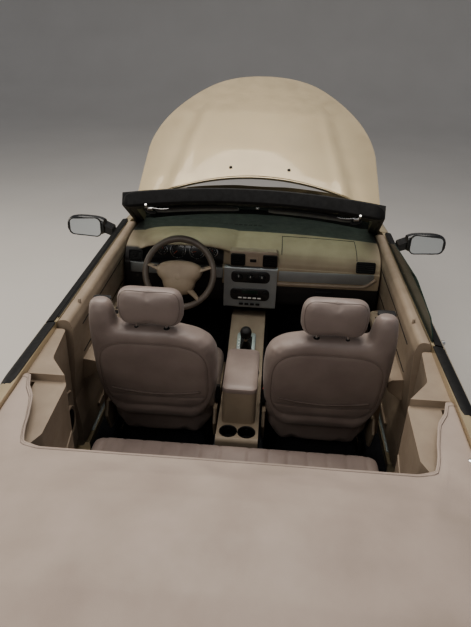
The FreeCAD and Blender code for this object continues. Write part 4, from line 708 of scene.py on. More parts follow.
# The dash front under the cowl on the driver's side is painted near-black as painted shade, not a panel of its own.
# The same dark tone also colours the lower dash under the beige roll.
painted_shade_driver_side = dash.between(across, 0.150, 0.156) * dash.between(height, 0.936, 0.928)
painted_shade_driver_side = painted_shade_driver_side * dash.between(ahead, 0.47, 0.46)
cloud = dash.noise(0.12, 5.0)
beige_part = dash.mix(dash.between(cloud, 0.35, 0.68), tint(160, 146, 124), tint(148, 134, 114))
dark_part = dash.mix(dash.between(cloud, 0.35, 0.68), tint(62, 64, 62), tint(50, 52, 51))
dark_tone_and_painted_shade = dash.mix(cloud, tint(34, 32, 32), tint(44, 41, 40))
dash.feed(
    Base_Color=dash.mix(
        painted_shade_driver_side, dash.mix(dark_low, dash.mix(dark_top, beige_part, dark_part), dark_tone_and_painted_shade), dark_tone_and_painted_shade
    ),
    Roughness=dash.between(dash.noise(0.04, 4.0), 0.3, 0.7, 0.50, 0.64) + dark_top * 0.10,
    Normal=dash.bump(dash.cells(0.0019), 0.00014, dash.bump(dash.noise(0.02, 4.0), 0.0002)),
)


def smooth_run(points, steps=4):
    """Points along a smooth curve through the given ones."""
    points = [np.array(p, float) for p in points]
    ends = [points[0] * 2 - points[1]] + points + [points[-1] * 2 - points[-2]]
    run = []
    for a, b, c, d in zip(ends, ends[1:], ends[2:], ends[3:]):
        for k in range(steps):
            t = k / steps
            run.append(
                0.5 * (2 * b + (c - a) * t + (2 * a - 5 * b + 4 * c - d) * t**2 + (3 * b - a - 3 * c + d) * t**3)
            )
    return run + [points[-1]]


def cowl_weight(y):
    """How far the dials' cowl stands out at this place across the car."""
    t = abs(y - 0.352) / 0.262
    return max(0.0, 1 - t**3.2) ** 0.75 if t < 1 else 0.0


def dash_profile(y):
    w = cowl_weight(y)
    drop = 0.012 * (y / 0.68) ** 2
    rear = 0.985 - 0.16 * (y / 0.68) ** 2
    front = 0.010 * (y / 0.68) ** 2
    rows = [
        (0.515, 0.642), (0.352, 0.640), (0.322, 0.700), (0.313, 0.775), (0.312, 0.864), (0.318 + 0.060 * w, 0.874),
        (0.322 + 0.085 * w, 0.892 + 0.02 * w), (0.328 + 0.075 * w, 0.905 + 0.05 * w),
        (0.335 + 0.010 * w, 0.918 + 0.052 * w),
        (0.345 - 0.030 * w, 0.930 + 0.048 * w), (0.362 - 0.025 * w, 0.944 + 0.052 * w), (0.405, 0.957 + 0.050 * w),
        (0.470, 0.967 + 0.040 * w), (0.560, 0.969 + 0.022 * w), (0.680, 0.963 + 0.004 * w), (0.800, 0.955),
    ]
    rows = [(x + front, z - drop) for x, z in rows]
    return smooth_run(rows, 4) + [
        np.array(p)
        for p in ((rear - 0.01, 0.944 - drop), (rear, 0.936 - drop), (rear - 0.12, 0.90), (0.80, 0.73))
    ]


board = Piece("dash_moulding")
board.loft(
    [[Vector((p[0], y, p[1])) for p in dash_profile(y)] for y in [0.686 * (k / 70 - 1) for k in range(141)]], dash
)
board_object = board.done("dash_mix", sharp=50)
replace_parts(board_object, "dashboard")

gauge_face = Finish("gauge_black", Coat_Weight=0.6, Coat_Roughness=0.05)
gauge_face.clouded(0.03, (12, 13, 15), (20, 21, 24)).worn(0.02, 0.3, 0.45)
marking = Finish("pale_marking")
marking.clouded(0.004, (214, 216, 210), (232, 232, 226)).worn(0.01, 0.4, 0.5)
red_mark = Finish("orange_needle")
red_mark.clouded(0.01, (206, 74, 32), (220, 90, 40)).worn(0.01, 0.35, 0.45)
cluster = Piece("dial_cluster")
dial_out, dial_up = Vector((-0.966, 0, 0.259)), Vector((0.259, 0, 0.966))
dial_across = Vector((0, 1, 0))
cluster.raised(Vector((0.398, 0.352, 0.912)), dial_across, dial_up, (0.400, 0.094), 0.04, -0.006, gauge_face)
for y, radius, turn in ((0.405, 0.043, 2.4), (0.300, 0.043, 2.1), (0.490, 0.028, 0.9), (0.215, 0.028, 1.2)):
    middle = Vector((0.389, y, 0.914))
    cluster.turned(
        middle, dial_out, [(0, radius), (0.004, radius), (0.005, radius - 0.003), (0.002, radius - 0.005)], bright,
        40, caps=False,
    )
    count = 21 if radius > 0.04 else 7
    for k in range(count):
        a = math.radians(225 - 270 * k / (count - 1))
        toward = dial_across * -math.cos(a) + dial_up * math.sin(a)
        rim_point = middle + dial_out * 0.003 + toward * (radius - 0.010)
        inward = (dial_across * math.cos(a) - dial_up * math.sin(a)) * (0.007 if k % 2 == 0 else 0.004)
        cluster.tube([rim_point, rim_point + inward], 0.0007, marking, 4)
    tip = (dial_across * -math.cos(turn * 1.6) + dial_up * math.sin(turn * 1.6)) * (radius - 0.012)
    cluster.tube([middle + dial_out * 0.004, middle + dial_out * 0.005 + tip], [0.0016, 0.0006], red_mark, 6)
    cluster.turned(middle + dial_out * 0.002, dial_out, [(0, 0.006), (0.004, 0.005)], gauge_face, 16)
cluster.done("black_plastic")

silver = Finish("satin_silver_trim", Metallic=0.75)
silver.clouded(0.05, (150, 156, 158), (166, 170, 170), 4.0).worn(0.01, 0.34, 0.46, 5.0).grained(0.0008, 0.00002)
dress(silver, "centre_stack")


def dash_front(y, z, proud=0.0):
    """A point on the dash's front face at a height under the cowl."""
    return Vector((0.3125 + 0.010 * (y / 0.68) ** 2 - proud, y, z))


band = Piece("dash_band")
for start, end in ((-0.655, -0.150), (0.150, 0.215), (0.50, 0.655)):
    rings = []
    for k in range(21):
        y = start + (end - start) * k / 20
        lift = 0.5 if k in (0, 20) else 1.0
        rows = [(-0.030, -0.001), (-0.029, 0.004), (-0.018, 0.0068), (0.018, 0.0068), (0.029, 0.004), (0.030, -0.001)]
        rings.append([dash_front(y, 0.829 + h + 0.006 * abs(y), d * lift) for h, d in rows])
    band.loft(rings, silver)
roll = [
    dash_front(y, 0.786 + 0.006 * abs(y) + (0.05 * max(0, (-y - 0.61) / 0.06)), 0.006)
    for y in [-0.145 - 0.52 * k / 24 for k in range(25)]
]
band.tube(roll, 0.0085, beige, 12)
band.done("bezel")

seam = Piece("airbag_seam")
edge = [(0.352, -0.16), (0.46, -0.16), (0.545, -0.16), (0.545, -0.35), (0.540, -0.56), (0.46, -0.56), (0.352, -0.56)]
run = smooth_run(edge[:3], 6) + smooth_run(edge[2:5], 6) + smooth_run(edge[4:], 6)
lid_points = []
for x, y in run:
    rows = dash_profile(y)
    z = float(np.interp(x, [p[0] for p in rows[34:62]], [p[1] for p in rows[34:62]]))
    lid_points.append(Vector((x, y, z + 0.0006)))
seam.tube(lid_points, 0.0018, black_and_recess_shade, 6)
seam.done("dash_mix")


def vent(piece, centre, half_across, half_up, across, up, slats):
    """A louvred outlet: a rim closed by a flat near-black face, the duct's dark plastic and painted shade, with slats
    and a thumb tab.
    """
    across, up = Vector(across).normalized(), Vector(up).normalized()
    out = up.cross(across) if up.cross(across).x < 0 else across.cross(up)
    rings = []
    for grow, depth in ((0.004, -0.002), (0.004, 0.006), (0.0, 0.007), (-0.002, 0.0012)):
        rings.append(ring(Vector(centre) + out * depth, across, up, half_across + grow, half_up + grow, 0.008))
    piece.loft(rings, moulding, caps=False)
    piece.add(rings[-1], [range(len(rings[-1]))], black_and_recess_shade)
    for k in range(slats):
        height = half_up * (2 * (k + 0.5) / slats - 1)
        ends = [Vector(centre) + up * height + across * s * (half_across - 0.003) + out * 0.0035 for s in (-1, 1)]
        piece.tube(ends, 0.0035, moulding, 6, flat=0.35)
    tab = Vector(centre) + out * 0.004
    piece.raised(tab, across, up, (0.010, 0.012), 0.002, 0.006 if across.cross(up).dot(out) > 0 else -0.006, moulding)


vents = Piece("dash_vents")
box_rings = []
for inset, x in ((0.0, 0.352), (0.0, 0.309), (0.004, 0.305), (0.010, 0.304)):
    box_rings.append(ring((x, -0.012, 0.921), (0, 1, 0), (0, 0, 1), 0.128 - inset, 0.044 - inset, 0.014))
vents.loft(box_rings, beige)
vent(vents, (0.302, 0.071, 0.917), 0.034, 0.029, (0, 1, 0), (0, 0, 1), 5)
vent(vents, (0.302, -0.099, 0.917), 0.034, 0.029, (0, 1, 0), (0, 0, 1), 5)
vents.raised((0.305, -0.010, 0.915), (0, 1, 0), (0, 0, 1), (0.056, 0.036), 0.008, -0.005, beige)
vents.raised((0.2995, -0.010, 0.915), (0, 1, 0), (0, 0, 1), (0.034, 0.017), 0.003, -0.0015, gauge_face)
vent(vents, (0.320, -0.605, 0.902), 0.046, 0.026, (0, 1, 0), (0.25, 0, 0.97), 5)
vent(vents, (0.320, 0.622, 0.902), 0.034, 0.026, (0, 1, 0), (0.25, 0, 0.97), 5)
# The defroster slots are sunk and near-black: painted shade in the openings.
for y, half in ((0.085, 0.115), (0.575, 0.05)):
    x = 0.725 if half > 0.1 else 0.665
    for k in range(9):
        slot_y = y + half * (k / 4 - 1)
        z = float(np.interp(x, (0.68, 0.80), (0.963, 0.955))) - 0.012 * (slot_y / 0.68) ** 2
        vents.raised((x, slot_y, z - 0.001), (0, 1, 0), (1, 0, 0), (half * 0.2, 0.022), 0.003, -0.0025, black_and_recess_shade, 0.001)
vents.done("black_plastic")


# Centre stack: a satin bezel clipped to the dash round two black panels, one with three climate dials, one the radio.
# The glovebox's lid closes flush beside it, with a moulded pull.
stack = Piece("stack_panels")
lean_up = Vector((0.073, 0, 0.997))
for z, half, tall in ((0.822, 0.104, 0.066), (0.722, 0.106, 0.068)):
    x = 0.283 + 0.073 * (z - 0.64) - 0.0005
    stack.raised((x, 0, z), (0, 1, 0), lean_up, (2 * half, tall), 0.026, -0.005, gauge_face, 0.003)
for y in (0.062, 0.0, -0.062):
    centre = Vector((0.2915, y, 0.822))
    stack.turned(
        centre, (-1, 0, 0.073), [(0, 0.021), (0.003, 0.021), (0.004, 0.018), (0.016, 0.016), (0.018, 0.013)],
        moulding, 32,
    )
    stack.tube([centre + Vector((-0.018, 0, 0.004)), centre + Vector((-0.017, 0, 0.015))], 0.0012, marking, 6)
for k in range(5):
    stack.raised((0.284, 0.052 - 0.026 * k, 0.702), (0, 1, 0), lean_up, (0.020, 0.009), 0.002, -0.003, marking)
for y in (0.083, -0.083):
    stack.turned((0.285, y, 0.735), (-1, 0, 0.073), [(0, 0.011), (0.010, 0.010), (0.012, 0.008)], moulding, 24)
stack.raised((0.2855, 0, 0.737), (0, 1, 0), lean_up, (0.088, 0.022), 0.003, -0.0015, tinted)
stack.raised((0.2845, 0, 0.718), (0, 1, 0), lean_up, (0.110, 0.004), 0.001, -0.001, black_and_recess_shade)
for k in range(4):
    stack.raised((0.2765, 0.045 - 0.03 * k, 0.668), (0, 1, 0), lean_up, (0.022, 0.012), 0.003, -0.003, moulding)
stack.done("bezel")
glovebox = Piece("glovebox")
edge = []
for corner in ring((0, 0, 0), (0, 1, 0), (0, 0, 1), 0.20, 0.055, 0.02, 5):
    y, z = corner.y - 0.40, corner.z + 0.712
    x = float(np.interp(z, (0.640, 0.700, 0.775), (0.352, 0.322, 0.313))) + 0.010 * (y / 0.68) ** 2
    edge.append(Vector((x - 0.0005, y, z)))
glovebox.tube(edge, 0.0018, black_and_recess_shade, 6, closed=True)
glovebox.raised((0.317, -0.40, 0.745), (0, 1, 0), (0.1, 0, 0.99), (0.09, 0.018), 0.006, -0.007, moulding, 0.003)
glovebox.done("dash_mix")


# Steering wheel: a leather-wrapped rim on four beige spokes, with a soft beige hub pad between them and two small
# switch pods. Behind it the column's shroud carries two stalks.
grip = skinned("grip_leather", tint(104, 95, 86), tint(90, 82, 74), 0.40, 0.0016, 0.00012, 0.05)
hub_skin = skinned("hub_pad_skin", tint(150, 136, 117), tint(140, 126, 108), 0.50, 0.0014, 0.00010, 0.06)
column_skin = skinned("column_plastic", tint(60, 56, 52), tint(50, 47, 44), 0.55, 0.0014, 0.0001, 0.06)
hub_middle = Vector((0.147, 0.360, 0.889))
tilt = math.radians(24)
wheel_up = Vector((math.sin(tilt), 0, math.cos(tilt)))
wheel_out = Vector((-math.cos(tilt), 0, math.sin(tilt)))
wheel_across = Vector((0, 1, 0))


def on_wheel(across, up, out=0.0):
    """A point in the wheel's own plane, out towards the driver."""
    return hub_middle + wheel_across * across + wheel_up * up + wheel_out * out


wheel = Piece("steering_wheel_wrapped", "steering_wheel")
turns = [2 * math.pi * k / 96 for k in range(96)]
thick = [0.0148 + 0.0018 * max(0, math.cos(2 * t)) ** 4 for t in turns]
wheel.tube(
    [on_wheel(0.1745 * math.sin(t), 0.1745 * math.cos(t)) for t in turns], thick, grip, 16, closed=True, flat=1.12
)
pad_rings = []
outline = [
    (0.0, 0.064), (0.050, 0.061), (0.096, 0.046), (0.118, 0.018), (0.110, -0.014), (0.088, -0.040), (0.078, -0.070),
    (0.060, -0.100), (0.026, -0.112), (0.0, -0.113),
]
outline = outline + [(-a, b) for a, b in outline[-2:0:-1]]
smooth_outline = smooth_run(outline + [outline[0]], 4)[:-1]
for shrink, out in (
    (0.94, -0.030), (1.0, -0.020), (1.0, 0.004), (0.975, 0.016), (0.90, 0.027), (0.72, 0.036), (0.40, 0.041),
    (0.05, 0.0425),
):
    pad_rings.append([on_wheel(p[0] * shrink, (p[1] + 0.027) * shrink - 0.027, out) for p in smooth_outline])
wheel.loft(pad_rings, hub_skin)
wheel.turned(on_wheel(0, -0.020, 0.0405), wheel_out, [(0, 0.016), (0.002, 0.016), (0.003, 0.013)], hub_skin, 32)
for side in (1, -1):
    for start, end in (((0.085, 0.012), (0.166, 0.040)), ((0.055, -0.080), (0.108, -0.135))):
        path = [
            on_wheel(
                side * (start[0] + (end[0] - start[0]) * t), start[1] + (end[1] - start[1]) * t, 0.008 - 0.010 * t
            )
            for t in (0, 0.35, 0.7, 1)
        ]
        wheel.tube(path, [0.027, 0.021, 0.017, 0.015], hub_skin, 12, flat=0.5)
    wheel.raised(
        on_wheel(side * 0.124, 0.026, 0.014), wheel_across, wheel_up, (0.024, 0.018), 0.007, 0.004, column_skin, 0.002
    )
wheel_object = wheel.done("wheel_leather", sharp=40)
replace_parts(wheel_object, "steering_wheel")
rivet = Piece("wheel_back_shell", "steering_wheel")
rivet.turned(
    on_wheel(0, 0, -0.012), -wheel_out, [(0, 0.070), (0.016, 0.064), (0.034, 0.044), (0.045, 0.036)], column_skin, 40
)
rivet.done("wheel_leather")
shroud = Piece("column_shroud")
rings = []
for out, half, tall, drop in (
    (-0.060, 0.040, 0.038, 0.0), (-0.075, 0.052, 0.046, 0.002), (-0.13, 0.058, 0.054, 0.006),
    (-0.20, 0.062, 0.060, 0.010), (-0.235, 0.064, 0.062, 0.012),
):
    rings.append(ring(on_wheel(0, -drop, out), wheel_across, wheel_up, half, tall, 0.030, 6))
shroud.loft(rings, column_skin)
for side, rise in ((1, 0.010), (-1, 0.010)):
    stalk = [
        on_wheel(side * 0.045, rise, -0.105), on_wheel(side * 0.085, rise + 0.006, -0.100),
        on_wheel(side * 0.125, rise + 0.012, -0.092), on_wheel(side * 0.160, rise + 0.016, -0.084),
    ]
    shroud.tube(stalk, [0.006, 0.0065, 0.008, 0.0095], column_skin, 12, flat=0.8)
shroud.turned(on_wheel(-0.062, 0.0, -0.165), (0.2, -1, 0.1), [(0, 0.014), (0.004, 0.014), (0.005, 0.011)], bright, 24)
shroud.done("dash_mix")


# Front seats: foam cushions and backs under taupe leather, sewn from panels with piped seams, each with a belt tower
# on its outer shoulder. The covers swell between their seams, and the backs carry a map pocket behind.
leather = skinned(
    "seat_leather", tint(144, 131, 124), tint(128, 115, 109), 0.40, 0.0022, 0.00018, 0.16, Sheen_Weight=0.08
)
dress(leather, "seat_left", "seat_right", "rear_seat")
seat_y = 0.358
piping = skinned("seam_piping", tint(122, 110, 103), tint(110, 98, 92), 0.45, 0.0012, 0.0001, 0.05)


def settled(obj):
    """The object's mesh with its modifiers worked in."""
    graph = bpy.context.evaluated_depsgraph_get()
    mesh = bpy.data.meshes.new_from_object(obj.evaluated_get(graph))
    old = obj.data
    obj.modifiers.clear()
    obj.data = mesh
    bpy.data.meshes.remove(old)
    return obj


def corners_of(obj):
    """The mesh's points as rows of three numbers."""
    rows = np.empty(len(obj.data.vertices) * 3)
    obj.data.vertices.foreach_get("co", rows)
    return rows.reshape(-1, 3)


def traced(obj, guides, direction):
    """Where a guide line falls on a form when it is thrown along a direction."""
    tree = BVHTree.FromPolygons(
        [tuple(v.co) for v in obj.data.vertices], [tuple(p.vertices) for p in obj.data.polygons]
    )
    hits = []
    for guide in guides:
        place, normal, face, far = tree.ray_cast(Vector(guide), Vector(direction).normalized())
        if place is not None:
            hits.append((place, normal))
    return hits


def near_line(points, line, reach):
    """How close each point is to a line, as 1 on it and 0 from the reach outward."""
    best = np.full(len(points), 1e9)
    line = [np.array(p[0]) for p in line]
    for a, b in zip(line, line[1:]):
        along = b - a
        share = np.clip(((points - a) @ along) / max(along @ along, 1e-12), 0, 1)
        best = np.minimum(best, np.linalg.norm(points - (a + share[:, None] * along), axis=1))
    return np.clip(1 - best / reach, 0, 1)


def upholstered(name, forms, seams, voxel, limit, pressure=4.0, depth=0.004, width=0.014):
    """One skin over overlapping closed forms, plumped by pressure between its seams, which stay drawn in.

    Each seam is (guide points, direction they are thrown in).
    """
    gathered = Piece(name)
    for rings in forms:
        gathered.loft(rings, leather)
    mesh = bpy.data.meshes.new(name)
    mesh.from_pydata([tuple(p) for p in gathered.points], [], gathered.faces)
    tidy = bmesh.new()
    tidy.from_mesh(mesh)
    bmesh.ops.recalc_face_normals(tidy, faces=tidy.faces)
    tidy.to_mesh(mesh)
    tidy.free()
    obj = bpy.data.objects.new(name, mesh)
    bpy.context.collection.objects.link(obj)
    skin = obj.modifiers.new("skin", "REMESH")
    skin.mode = "VOXEL"
    skin.voxel_size = voxel
    ease = obj.modifiers.new("ease", "SMOOTH")
    ease.factor = 0.5
    ease.iterations = 4
    settled(obj)
    lines = [traced(obj, guides, direction) for guides, direction in seams]
    before = corners_of(obj)
    held = np.zeros(len(before))
    for line in lines:
        held = np.maximum(held, near_line(before, line, voxel * 1.6) > 0.2)
    group = obj.vertex_groups.new(name="seams")
    group.add([int(i) for i in np.nonzero(held)[0]], 1.0, "REPLACE")
    cloth = obj.modifiers.new("cover", "CLOTH")
    cloth.settings.quality = 5
    cloth.settings.mass = 0.3
    cloth.settings.tension_stiffness = 15
    cloth.settings.compression_stiffness = 15
    cloth.settings.bending_stiffness = 2.0
    cloth.settings.use_pressure = True
    cloth.settings.uniform_pressure_force = pressure
    cloth.settings.effector_weights.gravity = 0
    cloth.settings.vertex_group_mass = "seams"
    cloth.point_cache.frame_end = 20
    for step in range(1, 21):
        bpy.context.scene.frame_set(step)
    settled(obj)
    moved = corners_of(obj) - before
    far = np.linalg.norm(moved, axis=1)
    moved *= np.minimum(1.0, limit / np.maximum(far, 1e-9))[:, None]
    obj.data.vertices.foreach_set("co", (before + moved).ravel())
    bpy.context.scene.frame_set(1)
    fine = obj.modifiers.new("fine", "SUBSURF")
    fine.levels = fine.render_levels = 1
    settled(obj)
    points = corners_of(obj)
    outward = np.empty(len(points) * 3)
    obj.data.vertices.foreach_get("normal", outward)
    outward = outward.reshape(-1, 3)
    for line in lines:
        points -= outward * (near_line(points, line, width) ** 2)[:, None] * depth
    obj.data.vertices.foreach_set("co", points.ravel())
    obj.vertex_groups.clear()
    obj.data.materials.clear()
    obj.data.materials.append(leather.material)
    obj.data.shade_smooth()
    return obj


def piped(name, obj, seams, radius, body="chassis", sink=0.35):
    """A thin piping sewn along the seams of a cover."""
    run = Piece(name, body)
    for guides, direction in seams:
        line = traced(obj, guides, direction)
        if len(line) > 3:
            run.tube([place + normal * radius * (1 - 2 * sink) for place, normal in line], radius, piping, 6)
    return run.done("leather")


def upright_form(rows, side=1):
    """Rounded plan sections from (z, front x, rear x, inner y, outer y, corner) rows, about the seat's middle."""
    rings = []
    for z, front, rear, inner, outer, corner in rows:
        middle = Vector(((front + rear) / 2, seat_y + (inner + outer) / 2, z))
        rings.append(ring(middle, (1, 0, 0), (0, 1, 0), (front - rear) / 2, (outer - inner) / 2, corner, 6))
    return rings


cushion_rows = [
    (0.345, 0.055, -0.42, -0.185, 0.185, 0.04), (0.40, 0.088, -0.42, -0.235, 0.235, 0.06),
    (0.47, 0.110, -0.43, -0.252, 0.252, 0.07), (0.505, 0.108, -0.43, -0.250, 0.250, 0.075),
    (0.524, 0.085, -0.43, -0.232, 0.232, 0.08), (0.530, 0.055, -0.43, -0.20, 0.20, 0.08),
]
back_rows = [
    (0.475, -0.335, -0.475, -0.215, 0.215, 0.055), (0.60, -0.358, -0.514, -0.255, 0.255, 0.06),
    (0.70, -0.380, -0.544, -0.262, 0.262, 0.064), (0.80, -0.404, -0.568, -0.262, 0.262, 0.066),
    (0.86, -0.424, -0.582, -0.257, 0.260, 0.065), (0.905, -0.444, -0.592, -0.240, 0.258, 0.062),
    (0.935, -0.462, -0.595, -0.205, 0.256, 0.060), (0.955, -0.477, -0.595, -0.150, 0.254, 0.055),
    (0.966, -0.492, -0.590, -0.10, 0.250, 0.045),
]
tower_rows = [
    (0.930, -0.474, -0.594, 0.132, 0.254, 0.045), (1.00, -0.496, -0.599, 0.144, 0.252, 0.045),
    (1.05, -0.508, -0.598, 0.150, 0.247, 0.042), (1.075, -0.520, -0.592, 0.158, 0.240, 0.036),
    (1.086, -0.534, -0.582, 0.172, 0.228, 0.024),
]
head_rows = [
    (0.990, -0.526, -0.584, -0.100, 0.100, 0.028), (1.004, -0.512, -0.592, -0.120, 0.120, 0.038),
    (1.03, -0.503, -0.598, -0.130, 0.130, 0.044), (1.07, -0.504, -0.604, -0.131, 0.131, 0.046),
    (1.11, -0.514, -0.606, -0.128, 0.128, 0.045), (1.135, -0.528, -0.602, -0.116, 0.116, 0.036),
    (1.145, -0.546, -0.590, -0.096, 0.096, 0.020),
]
bolsters = []
for y in (-0.205, 0.205):
    turn = [2 * math.pi * k / 16 for k in range(16)]
    rings = []
    for x, r in ((-0.40, 0.02), (-0.37, 0.042), (-0.1, 0.046), (0.03, 0.042), (0.075, 0.02)):
        rings.append([Vector((x, seat_y + y + r * math.cos(t), 0.512 + 0.8 * r * math.sin(t))) for t in turn])
    bolsters.append(rings)
    rings = []
    for z, x, r in (
        (0.56, -0.372, 0.02), (0.60, -0.380, 0.04), (0.72, -0.404, 0.046), (0.84, -0.436, 0.040), (0.89, -0.456, 0.02)
    ):
        rings.append([Vector((x + 0.7 * r * math.cos(t), seat_y + y + r * math.sin(t), z)) for t in turn])
    bolsters.append(rings)


def squared(share, power):
    """Pulls a circle's sine or cosine towards a rounded rectangle."""
    return math.copysign(abs(share) ** power, share)


backs = [math.radians(d) for d in range(-150, 151, 5)]
arch = [(-0.9, seat_y + 0.226 * squared(math.sin(a), 0.5), 0.715 + 0.192 * squared(math.cos(a), 0.6)) for a in backs]
low_curve = [(-0.9, seat_y + 0.205 * (k / 12 - 1), 0.592 + 0.014 * (k / 12 - 1) ** 2) for k in range(25)]
forwards, backwards, downwards = (1, 0, 0), (-1, 0, 0), (0, 0, -1)
shares = [k / 24 for k in range(25)]
seat_seams = [(arch, forwards), (low_curve, forwards)]
for s in (1, -1):
    seat_seams.append(([(0.4, seat_y + s * (0.150 - 0.02 * t), 0.56 + 0.34 * t) for t in shares], backwards))
for z in (0.64, 0.73, 0.82):
    seat_seams.append(([(0.4, seat_y - 0.140 + 0.28 * k / 16, z) for k in range(17)], backwards))
for s in (1, -1):
    seat_seams.append(([(0.07 - 0.36 * t, seat_y + s * 0.150, 0.9) for t in shares], downwards))
for x in (-0.02, -0.11, -0.20):
    seat_seams.append(([(x, seat_y - 0.145 + 0.29 * k / 16, 0.9) for k in range(17)], downwards))
seat = upholstered(
    "seat_left_cover", [upright_form(cushion_rows), upright_form(back_rows), upright_form(tower_rows)] + bolsters,
    seat_seams, 0.0115, 0.016,
)
head = upholstered("headrest_left_cover", [upright_form(head_rows)], [], 0.0085, 0.008)
head_piping = Piece("headrest_left_piping")
for x in (-0.588, -0.530):
    hits = []
    for a in [math.radians(d) for d in range(-128, 129, 6)]:
        start = Vector((x, seat_y + 0.3 * math.sin(a), 1.07 + 0.3 * math.cos(a)))
        hits += traced(head, [start], Vector((x, seat_y, 1.07)) - start)
    head_piping.tube([place + normal * 0.0004 for place, normal in hits], 0.0013, piping, 6)
for y in (-0.06, 0.06):
    head_piping.tube([(-0.556, seat_y + y, 0.94), (-0.556, seat_y + y, 1.02)], 0.0065, bright, 12)
    head_piping.turned(
        (-0.556, seat_y + y, 0.958), (0, 0, 1), [(0, 0.016), (0.010, 0.014), (0.013, 0.009)], moulding, 24
    )
head_piping = head_piping.done("leather")
seat_piping = piped("seat_left_piping", seat, seat_seams, 0.0013)
for obj, names in ((seat, "seat_right_cover"), (head, "headrest_right_cover")):
    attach(obj, "chassis")
    other = twin(obj, names)
    for one, node in ((obj, "seat_left"), (other, "seat_right")):
        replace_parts(one, node)
twin(seat_piping, "seat_right_piping")
twin(head_piping, "headrest_right_piping")


# Rear bench: foam under the same leather, its cushion and back sewn into narrow upright channels. The back leans
# against the trunk's bulkhead, and its top runs under the boot cover's hem.
def bench_form(corners, half):
    """A side outline of (x, z) corners, carried across the car and drawn in at its ends."""
    middle = Vector((sum(x for x, z in corners), 0, sum(z for x, z in corners))) / len(corners)
    rings = []
    for y in [half * (k / 12 - 1) for k in range(25)]:
        draw = 0.93 if abs(y) > half * 0.99 else 1.0
        rings.append(
            [Vector((middle.x + (x - middle.x) * draw, y, middle.z + (z - middle.z) * draw)) for x, z in corners]
        )
    return rings


bench_corners = [
    (-0.734, 0.39), (-0.726, 0.47), (-0.724, 0.53), (-0.742, 0.552), (-0.90, 0.556), (-1.075, 0.505), (-1.08, 0.385),
    (-0.765, 0.38),
]
rest_corners = [
    (-1.086, 0.43), (-1.087, 0.53), (-1.118, 0.66), (-1.160, 0.82), (-1.180, 0.872), (-1.226, 0.880), (-1.250, 0.86),
    (-1.274, 0.70), (-1.274, 0.395), (-1.13, 0.395),
]
channels = [side * (0.060 + 0.077 * k) for k in range(7) for side in (1, -1)]
bench_seams = [([(-0.4, y, 0.54 + 0.31 * k / 22) for k in range(23)], backwards) for y in channels]
bench_seams += [([(-0.735 - 0.30 * k / 20, y, 0.8) for k in range(21)], downwards) for y in channels]
bench = upholstered(
    "rear_bench_cover", [bench_form(bench_corners, 0.572), bench_form(rest_corners, 0.557)], bench_seams, 0.014,
    0.014, 3.0, 0.0035, 0.013,
)
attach(bench, "chassis")
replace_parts(bench, "rear_seat")
bench_front = [([(-0.4, -0.56 + 1.12 * k / 60, 0.535) for k in range(61)], backwards)]
piped("rear_bench_piping", bench, bench_front, 0.0016)


# Boot cover: one piece of coated cloth snapped over the folded top. Its hem is rolled twice with a pale piping and a
# line of stitches behind it, two lobes reach forward along the rails, and the top's bows lift it in the middle.
cover_cloth = skinned(
    "boot_cover_cloth", tint(172, 157, 146), tint(160, 145, 134), 0.60, 0.0018, 0.00016, 0.20, Sheen_Weight=0.12
)
dress(cover_cloth, "boot_cover")
cover_rows = [
    (-1.900, 0.962, 1.004), (-1.838, 0.964, 1.020), (-1.760, 0.968, 1.038), (-1.620, 0.968, 1.050),
    (-1.500, 0.962, 1.042), (-1.400, 0.952, 1.014), (-1.320, 0.943, 0.974), (-1.255, 0.936, 0.948),
    (-1.120, 0.936, 0.945), (-1.000, 0.939, 0.945), (-0.850, 0.942, 0.948),
]
cover_front = [
    (0, -1.268), (0.30, -1.266), (0.56, -1.256), (0.615, -1.235), (0.635, -1.18), (0.645, -1.12), (0.672, -1.01),
    (0.706, -0.95), (0.722, -0.895), (0.76, -0.885),
]


def cover_point(across, back):
    """A point of the cover: across runs from -1 to 1 between its sides, and back from 0 at its hem to 1."""
    front = float(np.interp(abs(across) * 0.748, *zip(*cover_front)))
    x = front + (-1.846 - front) * back
    half = float(np.interp(x, (-1.838, -1.242, -0.55), (0.655, 0.745, 0.754)))
    y = across * half
    rows = sorted(cover_rows)
    edge = float(np.interp(x, [r[0] for r in rows], [r[1] for r in rows]))
    crest = float(np.interp(x, [r[0] for r in rows], [r[2] for r in rows]))
    z = crest - (crest - edge) * (y / 0.76) ** 2 + 0.004
    loose = min(1.0, back * 8) * min(1.0, (1 - back) * 6)
    z += loose * 0.0030 * math.sin(9.5 * y + 14 * x) * math.sin(11 * x - 3.1 * y)
    for height, off_line, width, middle, reach in (
        (0.0045, y - 0.05 - 0.25 * (x + 1.33), 0.03, 1.35, 0.09),
        (0.0035, y + 0.21 + 0.6 * (x + 1.30), 0.035, 1.36, 0.08),
        (0.0040, abs(y) - 0.60 - 0.35 * (x + 1.3), 0.03, 1.40, 0.12),
    ):
        z += loose * height * math.exp(-((off_line / width) ** 2)) * math.exp(-(((x + middle) / reach) ** 2))
    z += loose * 0.0025 * math.sin(38 * y + 5) * math.exp(-(((x + 1.325) / 0.04) ** 2))
    side_turn = max(0.0, abs(across) - 0.985) / 0.015
    z -= 0.010 * side_turn**2
    return Vector((x, y, z))


